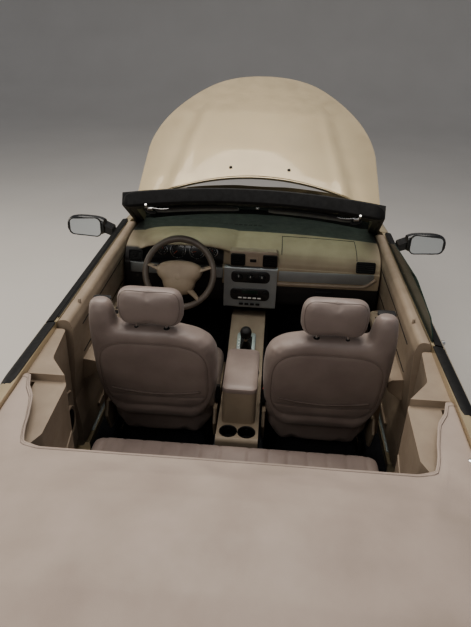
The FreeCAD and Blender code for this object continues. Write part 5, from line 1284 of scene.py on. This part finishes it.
cover = Piece("boot_cover_cloth")
across_steps = [math.sin(math.pi / 2 * (k / 60 - 1)) for k in range(121)]
hem = [
    (0.0, -0.0075), (0.004, -0.0012), (0.012, 0.0022), (0.018, 0.0022), (0.0215, -0.0006), (0.025, 0.0008),
    (0.034, 0.0),
]
rings = []
for back, lift in hem:
    rings.append([cover_point(a, back) + Vector((0, 0, lift)) for a in across_steps])
for k in range(1, 60):
    rings.append([cover_point(a, 0.034 + 0.966 * (k / 59)) for a in across_steps])
cover.loft(rings, cover_cloth, closed=False)
cover_sheet = cover.done("cover_vinyl", 60)
cover_trim = Piece("boot_cover_piping")
cover_trim.tube(
    [cover_point(a, 0.0) + Vector((0.002, 0, -0.006)) for a in across_steps[2:-2]], 0.0042, cover_cloth, 8
)
cover_trim.tube([cover_point(a, 0.0235) + Vector((0, 0, 0.0006)) for a in across_steps[2:-2]], 0.0009, piping, 5)
for side in (1, -1):
    for back in (0.30, 0.62, 0.93):
        snap = cover_point(side * 0.972, back)
        cover_trim.turned(snap, (0, 0, 1), [(0, 0.009), (0.003, 0.008), (0.005, 0.004)], bright, 20)
cover_trim = cover_trim.done("cover_vinyl")
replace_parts(cover_sheet, "boot_cover")


# Rails: a black rubber weatherstrip is pressed over each quarter's inner edge, from the door back to the boot cover.
# Below it a seam line and a round speaker's grille sit on the quarter's moulded trim.
for side, hand in ((1, "left"), (-1, "right")):
    rail = Piece("rail_strip_" + hand)
    rings = []
    for k in range(21):
        x = -0.546 - 0.46 * k / 20
        shoulder = float(np.interp(x, (-1.242, -0.54), (0.796, 0.814)))
        rows = [
            (0.7525, -0.030), (0.7525, 0.0045), (0.758, 0.0075), (0.780, 0.0070), (0.792, 0.0035), (0.800, -0.003),
            (0.800, -0.012), (0.78, -0.012),
        ]
        sink = 0.010 * max(0.0, (k - 16) / 4)
        rings.append(
            [Vector((x, side * y, crowned(x, shoulder) + 0.13 * (shoulder - y) + h - sink)) for y, h in rows]
        )
    rail.loft(rings, gasket)
    rail.done("black_trim")
    post = Piece("quarter_fittings_" + hand)
    arc = []
    for x, z in ((-0.60, 0.66), (-0.70, 0.705), (-0.80, 0.715), (-0.90, 0.700), (-1.02, 0.66)):
        y = float(np.interp(x, (-1.15, -0.88, -0.76, -0.547), (0.591, 0.601, 0.689, 0.711)))
        arc.append(Vector((x, side * y, z)))
    post.tube(arc, 0.005, beige, 8)
    speaker = Vector((-0.66, side * 0.7005, 0.55))
    out = Vector((0.05 * side, -side, 0))
    post.turned(speaker, out, [(0, 0.066), (0.006, 0.066), (0.009, 0.062), (0.006, 0.056)], beige, 40)
    post.turned(
        speaker + out.normalized() * 0.003, out, [(0, 0.056), (0.003, 0.05), (0.005, 0.02), (0.0055, 0.0005)], gasket,
        32,
    )
    post.done("trim_beige")


# Console: a beige moulding with a padded armrest, rubber-lined cup holders, a satin gear-selector plate with its
# leather boot, and a bright knob on a stalk.
console_skin = skinned("console_plastic", tint(152, 138, 120), tint(140, 127, 110), 0.54, 0.0016, 0.00012, 0.10)
dress(console_skin, "console")
armrest = Piece("armrest_pad")
rings = []
for inset, z in ((0.006, 0.628), (0.0, 0.634), (-0.001, 0.644), (0.001, 0.653), (0.008, 0.659), (0.024, 0.662)):
    rings.append(ring((-0.335, 0, z), (1, 0, 0), (0, 1, 0), 0.167 - inset, 0.0755 - inset, 0.026, 6))
armrest.loft(rings, leather)
armrest.tube(
    [p + Vector((0, 0, 0.0016)) for p in ring((-0.335, 0, 0.6565), (1, 0, 0), (0, 1, 0), 0.155, 0.0635, 0.02, 6)],
    0.0012, piping, 6, closed=True,
)
armrest.raised((-0.167, 0, 0.628), (0, 1, 0), (0, 0, 1), (0.05, 0.016), 0.005, 0.006, moulding)
armrest = armrest.done("leather")
shifter = Piece("shifter_and_cups")
for x, y in ((-0.556, -0.04), (-0.556, 0.04), (-0.105, -0.04), (-0.105, 0.04)):
    top = 0.4705 + (0.0 if x < -0.3 else 0.0115)
    shifter.turned(
        (x, y, top), (0, 0, 1),
        [
            (-0.048, 0.002), (-0.048, 0.031), (-0.046, 0.0335), (0.0, 0.0345), (0.0022, 0.0365), (0.003, 0.039),
            (0.0, 0.0395),
        ],
        gasket, 36, caps=False,
    )
    for k in range(3):
        turn = 2 * math.pi * k / 3
        tab = Vector((x + 0.029 * math.cos(turn), y + 0.029 * math.sin(turn), top - 0.02))
        shifter.raised(tab, (-math.sin(turn), math.cos(turn), 0), (0, 0, 1), (0.012, 0.02), 0.003, 0.005, moulding)
plate_middle, lean_along = Vector((0.045, 0, 0.5235)), Vector((0.94, 0, 0.34))
shifter.raised(plate_middle, (0, 1, 0), lean_along, (0.098, 0.215), 0.016, -0.006, silver, 0.002)
shifter.raised(
    plate_middle + Vector((-0.002, 0, 0.006)), (0, 1, 0), lean_along, (0.060, 0.165), 0.010, -0.002, gasket, 0.001
)
for k in range(6):
    spot = plate_middle + lean_along * (0.055 - 0.022 * k) + Vector((-0.001, 0.038, 0.0075))
    shifter.raised(spot, (0, 1, 0), lean_along, (0.006, 0.006), 0.0008, -0.001, marking, 0.0003)
boot_rings = []
for share, size in (
    (0.0, 0.030), (0.12, 0.027), (0.2, 0.024), (0.28, 0.022), (0.36, 0.017), (0.42, 0.016), (0.5, 0.012),
    (0.62, 0.0105),
):
    middle = Vector((0.028, 0, 0.520)).lerp(Vector((-0.020, 0, 0.655)), share)
    boot_rings.append(ring(middle, (0.94, 0, 0.34), (0, 1, 0), size, size, size * 0.4, 5))
shifter.loft(boot_rings, black_and_recess_shade)
shifter.tube([(0.001, 0, 0.60), (-0.014, 0, 0.640)], 0.0085, bright, 16)
shifter.turned(
    (-0.020, 0, 0.660), (-0.34, 0, 0.94),
    [
        (-0.034, 0.010), (-0.028, 0.018), (-0.012, 0.0275), (0.006, 0.0285), (0.020, 0.0245), (0.0275, 0.015),
        (0.0285, 0.002),
    ],
    moulding, 32,
)
shifter.turned(
    (-0.020, 0, 0.660), (-0.34, 0, 0.94), [(-0.032, 0.0195), (-0.026, 0.0215), (-0.022, 0.0255)], bright, 32
)
shifter.done("bezel")


# Carpet: a dark tufted floor, with a loose mat in each footwell, edged by a bound seam, and steel sill plates. Two
# rubber-faced pedals hang over it on flat arms.
carpet = Finish("dark_carpet", Sheen_Weight=0.25)
carpet.clouded(0.05, (24, 25, 33), (36, 37, 45), 6.0).worn(0.004, 0.85, 1.0, reach=(0.2, 0.8))
carpet.feed(Normal=carpet.bump(carpet.noise(0.0022, 5.0), 0.0012, carpet.bump(carpet.noise(0.012, 3.0), 0.0015)))
dress(carpet, "floor_pan")
mats = Piece("floor_mats")
for side in (1, -1):
    for low, high, inner, outer in ((0.18, 0.66, 0.15, 0.60), (-0.70, -0.46, 0.15, 0.56)):
        rings = []
        for inset, z in ((0.0, 0.2485), (0.0, 0.2545), (0.003, 0.2565), (0.02, 0.2555)):
            middle = ((low + high) / 2, side * (inner + outer) / 2, z)
            rings.append(
                ring(middle, (1, 0, 0), (0, 1, 0), (high - low) / 2 - inset, (outer - inner) / 2 - inset, 0.05, 6)
            )
        mats.loft(rings, carpet)
        mats.tube(
            ring(
                ((low + high) / 2, side * (inner + outer) / 2, 0.2565), (1, 0, 0), (0, 1, 0),
                (high - low) / 2 - 0.006, (outer - inner) / 2 - 0.006, 0.046, 6,
            ),
            0.004, black_and_recess_shade, 8, closed=True,
        )
    mats.raised((0.12, side * 0.72, 0.2862), (1, 0, 0), (0, 1, 0), (1.05, 0.05), 0.012, 0.003, silver, 0.001)
for at, size in (((0.70, 0.40, 0.37), (0.055, 0.085)), ((0.70, 0.27, 0.33), (0.045, 0.15))):
    mats.raised(at, (0, 1, 0), (-0.55, 0, 0.84), size, 0.008, -0.012, gasket, 0.003)
    arm = [Vector(at) + Vector(step) for step in ((0.012, 0, 0.01), (0.10, 0, 0.12), (0.11, 0, 0.24))]
    mats.tube(arm, 0.008, moulding, 8, flat=0.6)
mats.done("carpet")


# Seat belts: woven webbing runs from each front seat's tower down to its lap point, with bright tongues and red-keyed
# buckles beside the tunnel. Under each seat stand its side shell, its slides and a height lever.
webbing = Finish("belt_webbing", Sheen_Weight=0.1)
webbing.clouded(0.03, (148, 130, 112), (136, 118, 101), 5.0).worn(0.01, 0.60, 0.78, reach=(0.2, 0.8))
webbing.feed(
    Normal=webbing.bump(
        webbing.node("ShaderNodeTexWave", {"bands_direction": "Z"}, {"Vector": webbing.place, "Scale": 160.0}), 0.0003
    ),
)
key_red = skinned("buckle_key", tint(170, 30, 24), tint(150, 24, 20), 0.42, 0.002, 0.00005, 0.02)
belts = Piece("seat_belts")
band_edges = [(-0.023, 0), (-0.0225, 0.0009), (0.0225, 0.0009), (0.023, 0), (0.0225, -0.0009), (-0.0225, -0.0009)]
for side in (1, -1):
    path = [
        (-0.530, 0.560, 1.066), (-0.505, 0.560, 1.060), (-0.494, 0.560, 1.02), (-0.462, 0.566, 0.93),
        (-0.425, 0.588, 0.82), (-0.392, 0.612, 0.68), (-0.372, 0.622, 0.54), (-0.365, 0.628, 0.42),
        (-0.36, 0.632, 0.34),
    ]
    rings = []
    for i, at in enumerate(path):
        a, b = Vector(path[max(i - 1, 0)]), Vector(path[min(i + 1, len(path) - 1)])
        along = (b - a).normalized()
        wide = Vector((0.25 if i > 3 else 0.0, 1.0 if i < 4 else 0.35, 0))
        wide = (wide - along * wide.dot(along)).normalized()
        out = along.cross(wide).normalized()
        middle = Vector(at) + Vector((0.004, 0, 0.002))
        rings.append([middle + wide * w + out * t for w, t in band_edges])
    rings = [[Vector((p.x, side * p.y, p.z)) for p in loop] for loop in rings]
    belts.loft(rings, webbing)
    guide = Vector((-0.520, side * 0.560, 1.070))
    belts.raised(guide, (0, 1, 0), (1, 0, 0.1), (0.070, 0.040), 0.012, 0.010 * side, moulding, 0.003)
    buckle = Vector((-0.36, side * 0.106, 0.50))
    belts.tube([(-0.37, side * 0.112, 0.30), (-0.365, side * 0.110, 0.40), tuple(buckle)], 0.008, moulding, 8)
    rings = []
    for k in (0, 0.1, 0.9, 1):
        middle = buckle + Vector((0.02 * k, 0, 0.055 * k))
        rings.append(ring(middle, (0.94, 0, -0.34), (0, 1, 0), 0.020 - 0.002 * k, 0.0105, 0.006, 4))
    belts.loft(rings, moulding)
    belts.raised(
        buckle + Vector((0.0185, 0, 0.054)), (0, side, 0), (0.94, 0, -0.34), (0.014, 0.018), 0.003, 0.003, key_red,
        0.001,
    )
    rear_buckle = Vector((-1.045, side * 0.30, 0.545))
    for dy in (0.0, 0.045):
        rings = []
        for k in (0, 0.1, 0.9, 1):
            middle = rear_buckle + Vector((0.03 * k, dy, 0.030 * k))
            rings.append(ring(middle, (0.7, 0, -0.7), (0, 1, 0), 0.009, 0.017, 0.005, 4))
        belts.loft(rings, moulding)
        belts.raised(
            rear_buckle + Vector((0.0305, dy, 0.0305)), (0, 1, 0), (0.7, 0, -0.7), (0.020, 0.010), 0.003, 0.003,
            key_red, 0.001,
        )
belts.done("trim_beige")
shells = Piece("seat_side_shells")
for side in (1, -1):
    for y, tall in ((seat_y + 0.258, 1), (seat_y - 0.258, -1)):
        rings = []
        for inset, off in ((0.012, 0.0), (0.002, 0.004), (0.0, 0.012), (0.006, 0.017)):
            outline = [
                (-0.42, 0.325), (0.03, 0.325), (0.07, 0.375), (0.06, 0.425), (-0.10, 0.448), (-0.30, 0.468),
                (-0.43, 0.49), (-0.465, 0.43),
            ]
            middle = Vector((-0.2, 0, 0.40))
            loop = []
            for x, z in outline:
                along, high = (x - middle.x) * (1 - inset * 3), (z - middle.z) * (1 - inset * 5)
                loop.append(Vector((middle.x + along, side * (y - tall * 0.020 + tall * off), middle.z + high)))
            rings.append(loop)
        shells.loft(rings, console_skin)
        rail = [(0.10, side * (y - tall * 0.05), 0.262), (-0.46, side * (y - tall * 0.05), 0.262)]
        shells.tube(rail, 0.014, bright, 8, flat=0.7)
        shells.tube(
            [(0.06, side * (y - tall * 0.05), 0.27), (0.05, side * (y - tall * 0.045), 0.34)], 0.012, black_and_recess_shade, 8
        )
        shells.tube(
            [(-0.42, side * (y - tall * 0.05), 0.27), (-0.40, side * (y - tall * 0.045), 0.36)], 0.012, black_and_recess_shade, 8
        )
    shells.tube(
        [(-0.03, side * 0.633, 0.39), (0.02, side * 0.636, 0.392), (0.06, side * 0.634, 0.388)],
        [0.009, 0.008, 0.005], moulding, 10, flat=0.6,
    )
    shares = [k / 12 - 1 for k in range(25)]
    smile = [(-0.9, seat_y + 0.19 * share, 0.655 - 0.030 * math.cos(share * 1.4)) for share in shares]
    pocket = traced(seat, smile, (1, 0, 0))
    shells.tube([Vector((p.x - 0.004, side * p.y, p.z)) for p, normal in pocket], 0.0045, piping, 8)
shells.done("trim_beige")


# Wheels: road tyres with four deep grooves and slanted sipes cut in their tread, on cast alloy rims with five lug
# nuts, a bare centre cap and a rubber valve. Iron brake discs and iron calipers sit behind the spokes.
rubber = Finish("tyre_rubber", Specular_IOR_Level=0.35)
rubber_dust = rubber.noise(0.05, 6.0)
rubber.feed(Base_Color=rubber.mix(rubber_dust, tint(22, 22, 23), tint(44, 42, 40))).worn(0.02, 0.66, 0.86, 4.0)
rubber.grained(0.0014, 0.0002, 4.0)
alloy = Finish("cast_alloy", Metallic=0.9, Coat_Weight=0.3)
alloy.clouded(0.09, (172, 172, 172), (196, 196, 195), 5.0).worn(0.01, 0.26, 0.40, 5.0)
iron = Finish("brake_iron", Metallic=0.85)
iron.clouded(0.03, (92, 88, 84), (128, 104, 84), 6.0).worn(0.006, 0.42, 0.66, 5.0).grained(0.003, 0.0002, 5.0)
tread_rows = [
    (-0.084, 0.2056, 0), (-0.096, 0.2085, 0), (-0.1015, 0.216, 0), (-0.1025, 0.232, 0), (-0.1035, 0.252, 0),
    (-0.1036, 0.270, 0), (-0.1020, 0.288, 0), (-0.0985, 0.303, 0), (-0.0935, 0.314, 0), (-0.0885, 0.3205, 1),
    (-0.0830, 0.3240, 2), (-0.0660, 0.3256, 2), (-0.0640, 0.3254, 1), (-0.0630, 0.3185, 0), (-0.0560, 0.3185, 0),
    (-0.0550, 0.3257, 2), (-0.0230, 0.3259, 2), (-0.0220, 0.3257, 1), (-0.0210, 0.3185, 0), (-0.0120, 0.3185, 0),
    (-0.0110, 0.3258, 1), (-0.0090, 0.3259, 2),
]
tread_rows += [(-across, radius, cut) for across, radius, cut in reversed(tread_rows)]
steps = 216
for axle, axle_x in (("front", 1.450), ("rear", -1.242)):
    for hand, side in (("left", 1), ("right", -1)):
        middle = Vector((axle_x, side * 0.755, 0.326))
        road = Piece(f"tyre_{axle}_{hand}_tread", f"wheel_{axle}_{hand}")
        rings = []
        for k in range(steps):
            loop = []
            for across, radius, cut in tread_rows:
                lean_by = abs(across) * 22
                turn = 2 * math.pi * (k + lean_by) / steps
                depth = 0.0045 if cut and k % 3 == 0 else 0.0
                deep = radius - depth
                loop.append(middle + Vector((deep * math.sin(turn), across * side, deep * math.cos(turn))))
            rings.append(loop)
        rings.append(rings[0])
        road.loft(rings, rubber, closed=False)
        for radius, wide in ((0.222, 0.1026), (0.246, 0.1036)):
            turns = [2 * math.pi * k / 96 for k in range(96)]
            bead = [middle + Vector((radius * math.sin(t), side * wide, radius * math.cos(t))) for t in turns]
            road.tube(bead, 0.0011, rubber, 6, closed=True)
        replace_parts(road.done("tyre", 28), f"tyre_{axle}_{hand}")
        fittings = Piece(f"wheel_fittings_{axle}_{hand}", f"wheel_{axle}_{hand}")
        out = Vector((0, side, 0))
        for k in range(5):
            turn = 2 * math.pi * k / 5
            spot = middle + Vector((0.054 * math.sin(turn), side * 0.050, 0.054 * math.cos(turn)))
            fittings.turned(
                spot, out,
                [(0, 0.013), (0.004, 0.013), (0.0045, 0.0098), (0.020, 0.0098), (0.0235, 0.006), (0.024, 0.001)],
                bright, 6,
            )
        fittings.turned(
            middle + out * 0.052, out,
            [(-0.02, 0.0308), (0.010, 0.0308), (0.016, 0.027), (0.0185, 0.018), (0.019, 0.001)], alloy, 40,
        )
        valve = middle + Vector((0.150 * math.sin(0.63), side * 0.072, 0.150 * math.cos(0.63)))
        valve_foot = middle + Vector((0.186 * math.sin(0.63), side * 0.074, 0.186 * math.cos(0.63)))
        fittings.tube([valve_foot, valve_foot.lerp(valve, 0.6) + out * 0.006], [0.0045, 0.0032], gasket, 10)
        fittings.done("steel")
        brake = Piece(f"caliper_{axle}_{hand}", {"front": f"knuckle_{hand}", "rear": "chassis"}[axle])
        rings = []
        for k in range(9):
            turn = math.radians(-70 - 40 * (k / 8 - 0.5)) * (1 if axle == "front" else -1)
            tall = 0.024 - 0.008 * abs(k / 4 - 1) ** 3
            spot = middle + Vector((0.128 * math.sin(turn), side * -0.042, 0.128 * math.cos(turn)))
            away = Vector((math.sin(turn), 0, math.cos(turn)))
            rings.append(ring(spot, out, away, 0.030, tall, 0.008, 3))
        brake.loft(rings, iron)
        brake.done("cast_metal")
dress(alloy, "rim_front_left", "rim_front_right", "rim_rear_left", "rim_rear_right")
dress(iron, "knuckle_left", "knuckle_right")


# Engine bay: a cast engine under moulded covers, with sealed plastic boxes beside it. Rubber hoses, a battery cable,
# a fuel rail and looms run between them, and each cap and clamp is a small turned piece.
casting = Finish("engine_casting", Metallic=0.7)
height = casting.along(2)
upper = height > 0.683
casting_shade = casting.mix(casting.noise(0.02, 6.0), tint(132, 130, 126), tint(160, 157, 152))
casting.feed(Base_Color=casting.mix(upper, casting_shade, tint(40, 40, 41)), Metallic=0.75 + upper * -0.7)
casting.worn(0.006, 0.42, 0.62, 5.0).grained(0.0016, 0.0003, 5.0)
dress(casting, "engine")
dress(moulding, "engine_bay_boxes", "wheel_liners")
core = Finish("radiator_core", Metallic=0.6)
fins = core.node("ShaderNodeTexWave", {"bands_direction": "Z"}, {"Vector": core.place, "Scale": 90.0})
core.feed(Base_Color=core.mix(fins, tint(30, 30, 31), tint(66, 67, 68))).worn(0.01, 0.42, 0.6, reach=(0.0, 1.0))
core.feed(Normal=core.bump(fins, 0.001))
dress(core, "radiator")
underbody = Finish("underbody_coat", Metallic=0.1)
underbody.clouded(0.08, (34, 33, 32), (58, 53, 48), 6.0).worn(0.02, 0.55, 0.85, 5.0).grained(0.004, 0.0005, 5.0)
dress(underbody, "front_structure", "rear_structure", "front_suspension", "rear_suspension")
pipework = Finish("exhaust_steel", Metallic=0.9)
pipework.clouded(0.06, (112, 106, 98), (140, 128, 112), 6.0).worn(0.01, 0.34, 0.56, 5.0).grained(0.004, 0.0002, 4.0)
dress(pipework, "exhaust")
hoses = Piece("engine_bay_hoses")
clamp_heights = (0.0004, 0.0016, 0.0016, 0.0004)
for radius, path in (
    (
        0.019,
        [(2.056, -0.30, 0.69), (2.0, -0.30, 0.715), (1.92, -0.27, 0.72), (1.86, -0.20, 0.70), (1.83, -0.14, 0.66)],
    ),
    (0.019, [(2.056, 0.28, 0.37), (1.99, 0.29, 0.38), (1.93, 0.24, 0.42), (1.86, 0.16, 0.45), (1.83, 0.10, 0.45)]),
    (
        0.011,
        [(1.255, -0.5, 0.78), (1.32, -0.44, 0.77), (1.42, -0.34, 0.76), (1.50, -0.30, 0.72), (1.53, -0.28, 0.69)],
    ),
    (0.007, [(1.10, 0.36, 0.70), (1.14, 0.42, 0.72), (1.20, 0.46, 0.74), (1.26, 0.475, 0.76)]),
    (0.009, [(1.15, 0.30, 0.715), (1.26, 0.24, 0.73), (1.42, 0.20, 0.76), (1.56, 0.12, 0.765), (1.62, 0.09, 0.755)]),
    (0.008, [(1.15, 0.515, 0.853), (1.22, 0.47, 0.845), (1.34, 0.43, 0.80), (1.50, 0.37, 0.74), (1.56, 0.33, 0.60)]),
    (0.009, [(1.562, 0.56, 0.77), (1.50, 0.48, 0.785), (1.42, 0.40, 0.78), (1.30, 0.38, 0.77), (1.16, 0.36, 0.775)]),
):
    points = [Vector(p) for p in path]
    smooth = []
    for k in range(25):
        t = k / 24 * (len(points) - 1)
        i = min(int(t), len(points) - 2)
        p0, p1, p2, p3 = points[max(i - 1, 0)], points[i], points[i + 1], points[min(i + 2, len(points) - 1)]
        f = t - i
        slope, bend, twist = p2 - p0, 2 * p0 - 5 * p1 + 4 * p2 - p3, 3 * p1 - p0 - 3 * p2 + p3
        smooth.append(0.5 * ((2 * p1) + slope * f + bend * f**2 + twist * f**3))
    hoses.tube(smooth, radius, gasket, 14)
    if radius > 0.01:
        clamp = [(along, radius + proud) for along, proud in zip((-0.005, -0.005, 0.005, 0.005), clamp_heights)]
        for at, ahead in ((smooth[1], smooth[2]), (smooth[-2], smooth[-3])):
            hoses.turned(at, ahead - at, clamp, bright, 24)
for k in range(6):
    y = -0.210 + 0.046 * k
    hoses.turned((1.742, y, 0.742), (0.6, 0, 0.8), [(0, 0.012), (0.012, 0.012), (0.016, 0.008)], black_and_recess_shade, 16)
hoses.tube([(1.752, -0.235, 0.755), (1.752, 0.045, 0.755)], 0.0065, bright, 12)
for at, radius, finish in (
    ((1.255, -0.58, 0.874), 0.027, black_and_recess_shade), ((1.63, -0.585, 0.798), 0.021, black_and_recess_shade),
    ((1.10, 0.33, 0.772), 0.020, black_and_recess_shade), ((1.56, -0.16, 0.700), 0.024, black_and_recess_shade),
    ((1.45, 0.598, 0.785), 0.034, bright), ((1.45, -0.598, 0.785), 0.034, bright),
):
    rows = [(-0.004, radius), (0.006, radius), (0.010, radius * 0.92), (0.011, radius * 0.3), (0.011, 0.001)]
    hoses.turned(at, (0, 0, 1), rows, finish, 32)
    if finish is bright:
        for turn in (0, 2 * math.pi / 3, 4 * math.pi / 3):
            nut = Vector(at) + Vector((0.066 * math.cos(turn), 0.066 * math.sin(turn), 0))
            hoses.turned(nut, (0, 0, 1), [(-0.002, 0.009), (0.008, 0.009), (0.010, 0.006)], bright, 6)
for x, z, lean in ((1.47, 0.668, -0.47), (1.855, 0.67, 0.47)):
    for k in range(5):
        bolt_head = [(0.0, 0.007), (0.007, 0.007), (0.009, 0.004)]
        hoses.turned((x, -0.26 + 0.075 * k, z), (lean, 0, 0.88), bolt_head, bright, 6)
hoses.done("black_plastic")


# Nose: clear moulded headlamps, each over two bright round bowls that are turned to a lip, with a dark moulded grille
# between them.
lens = Finish("clear_lens", Transmission_Weight=0.92, IOR=1.40, Coat_Weight=0.4, Coat_Roughness=0.03)
lens.clouded(0.1, (232, 236, 238), (240, 242, 242)).worn(0.03, 0.01, 0.05, 5.0, reach=(0.4, 0.8))
dress(lens, "headlamps")
dress(moulding, "grille")
nose = Piece("headlamp_bowls")
for side in (1, -1):
    for x, y, z, radius in ((2.290, 0.560, 0.655, 0.048), (2.215, 0.670, 0.680, 0.050)):
        nose.turned(
            (x, side * y, z), (1, 0, -0.05),
            [
                (-0.030, 0.012), (-0.026, 0.028), (-0.014, radius * 0.85), (0.004, radius), (0.006, radius + 0.004),
                (0.002, radius + 0.004),
            ],
            bright, 36, caps=False,
        )
        nose.turned(
            (x - 0.028, side * y, z), (1, 0, -0.05), [(0, 0.012), (0.012, 0.010), (0.020, 0.005), (0.022, 0.001)],
            marking, 20,
        )
nose.done("bezel")


# Tail: moulded red lamps with a clear band for reversing, two plate lamps over the bare recess, a turned lock in the
# trunk lid, and a painted fuel door that follows the left quarter's face.
lamp_red = Finish("tail_lamp_red", Coat_Weight=0.8, Coat_Roughness=0.04, Specular_IOR_Level=0.6)
lamp_z, lamp_y = lamp_red.along(2), lamp_red.node("ShaderNodeMath", {"operation": "ABSOLUTE"}, {0: lamp_red.along(1)})
clear_band = (lamp_z > 0.778) * (lamp_z < 0.806) * (lamp_y < 0.70)
ribs = lamp_red.node("ShaderNodeTexWave", {"bands_direction": "Z"}, {"Vector": lamp_red.place, "Scale": 40.0})
lamp_red.feed(
    Base_Color=lamp_red.mix(
        clear_band, lamp_red.mix(ribs, tint(120, 10, 10), tint(156, 18, 14)), tint(214, 206, 200)
    ),
)
lamp_red.worn(0.04, 0.08, 0.18, 5.0).feed(Normal=lamp_red.bump(ribs, 0.0006))
dress(lamp_red, "tail_lamps")


def laid_on(piece, node, centre, thrown, across, up, size, corner, lift, finish):
    """Adds a thin panel that follows a body panel's face, with its rim turned down to it."""
    panel = cad[node]
    tree = BVHTree.FromPolygons(
        [panel.matrix_world @ v.co for v in panel.data.vertices], [tuple(p.vertices) for p in panel.data.polygons]
    )
    rings = []
    for share, stand in ((1.0, -0.001), (1.0, lift * 0.6), (0.985, lift), (0.7, lift), (0.35, lift), (0.03, lift)):
        loop = []
        for point in ring(
            Vector(centre), Vector(across), Vector(up), size[0] / 2 * share, size[1] / 2 * share, corner * share, 5
        ):
            place, normal, face, far = tree.ray_cast(point, Vector(thrown))
            if place is None:
                return
            loop.append(place + normal * (stand if normal.dot(Vector(thrown)) < 0 else -stand))
        rings.append(loop)
    piece.loft(rings, finish)


tail = Piece("tail_fittings")
fuel_door = ((-1.70, 1.2, 0.848), (0, -1, 0), (1, 0, 0), (0, 0, 1))
laid_on(tail, "quarter_panels", *fuel_door, (0.156, 0.146), 0.032, 0.0009, moulding)
laid_on(tail, "quarter_panels", *fuel_door, (0.150, 0.140), 0.029, 0.0022, paint)
for side in (1, -1):
    tail.raised((-2.4375, side * 0.12, 0.606), (0, side, 0), (0, 0, 1), (0.060, 0.016), 0.004, -0.004, moulding)
tail.done("black_trim")
lid_lock = Piece("trunk_lock", "trunk_lid")
laid_on(
    lid_lock, "trunk_lid", (-2.7, 0, 0.835), (1, 0, 0), (0, 1, 0), (0, 0, 1), (0.034, 0.034), 0.0165, 0.0030, bright
)
laid_on(
    lid_lock, "trunk_lid", (-2.7, 0, 0.835), (1, 0, 0), (0, 1, 0), (0, 0, 1), (0.0035, 0.012), 0.001, 0.0034, moulding
)
lid_lock.done("black_trim")
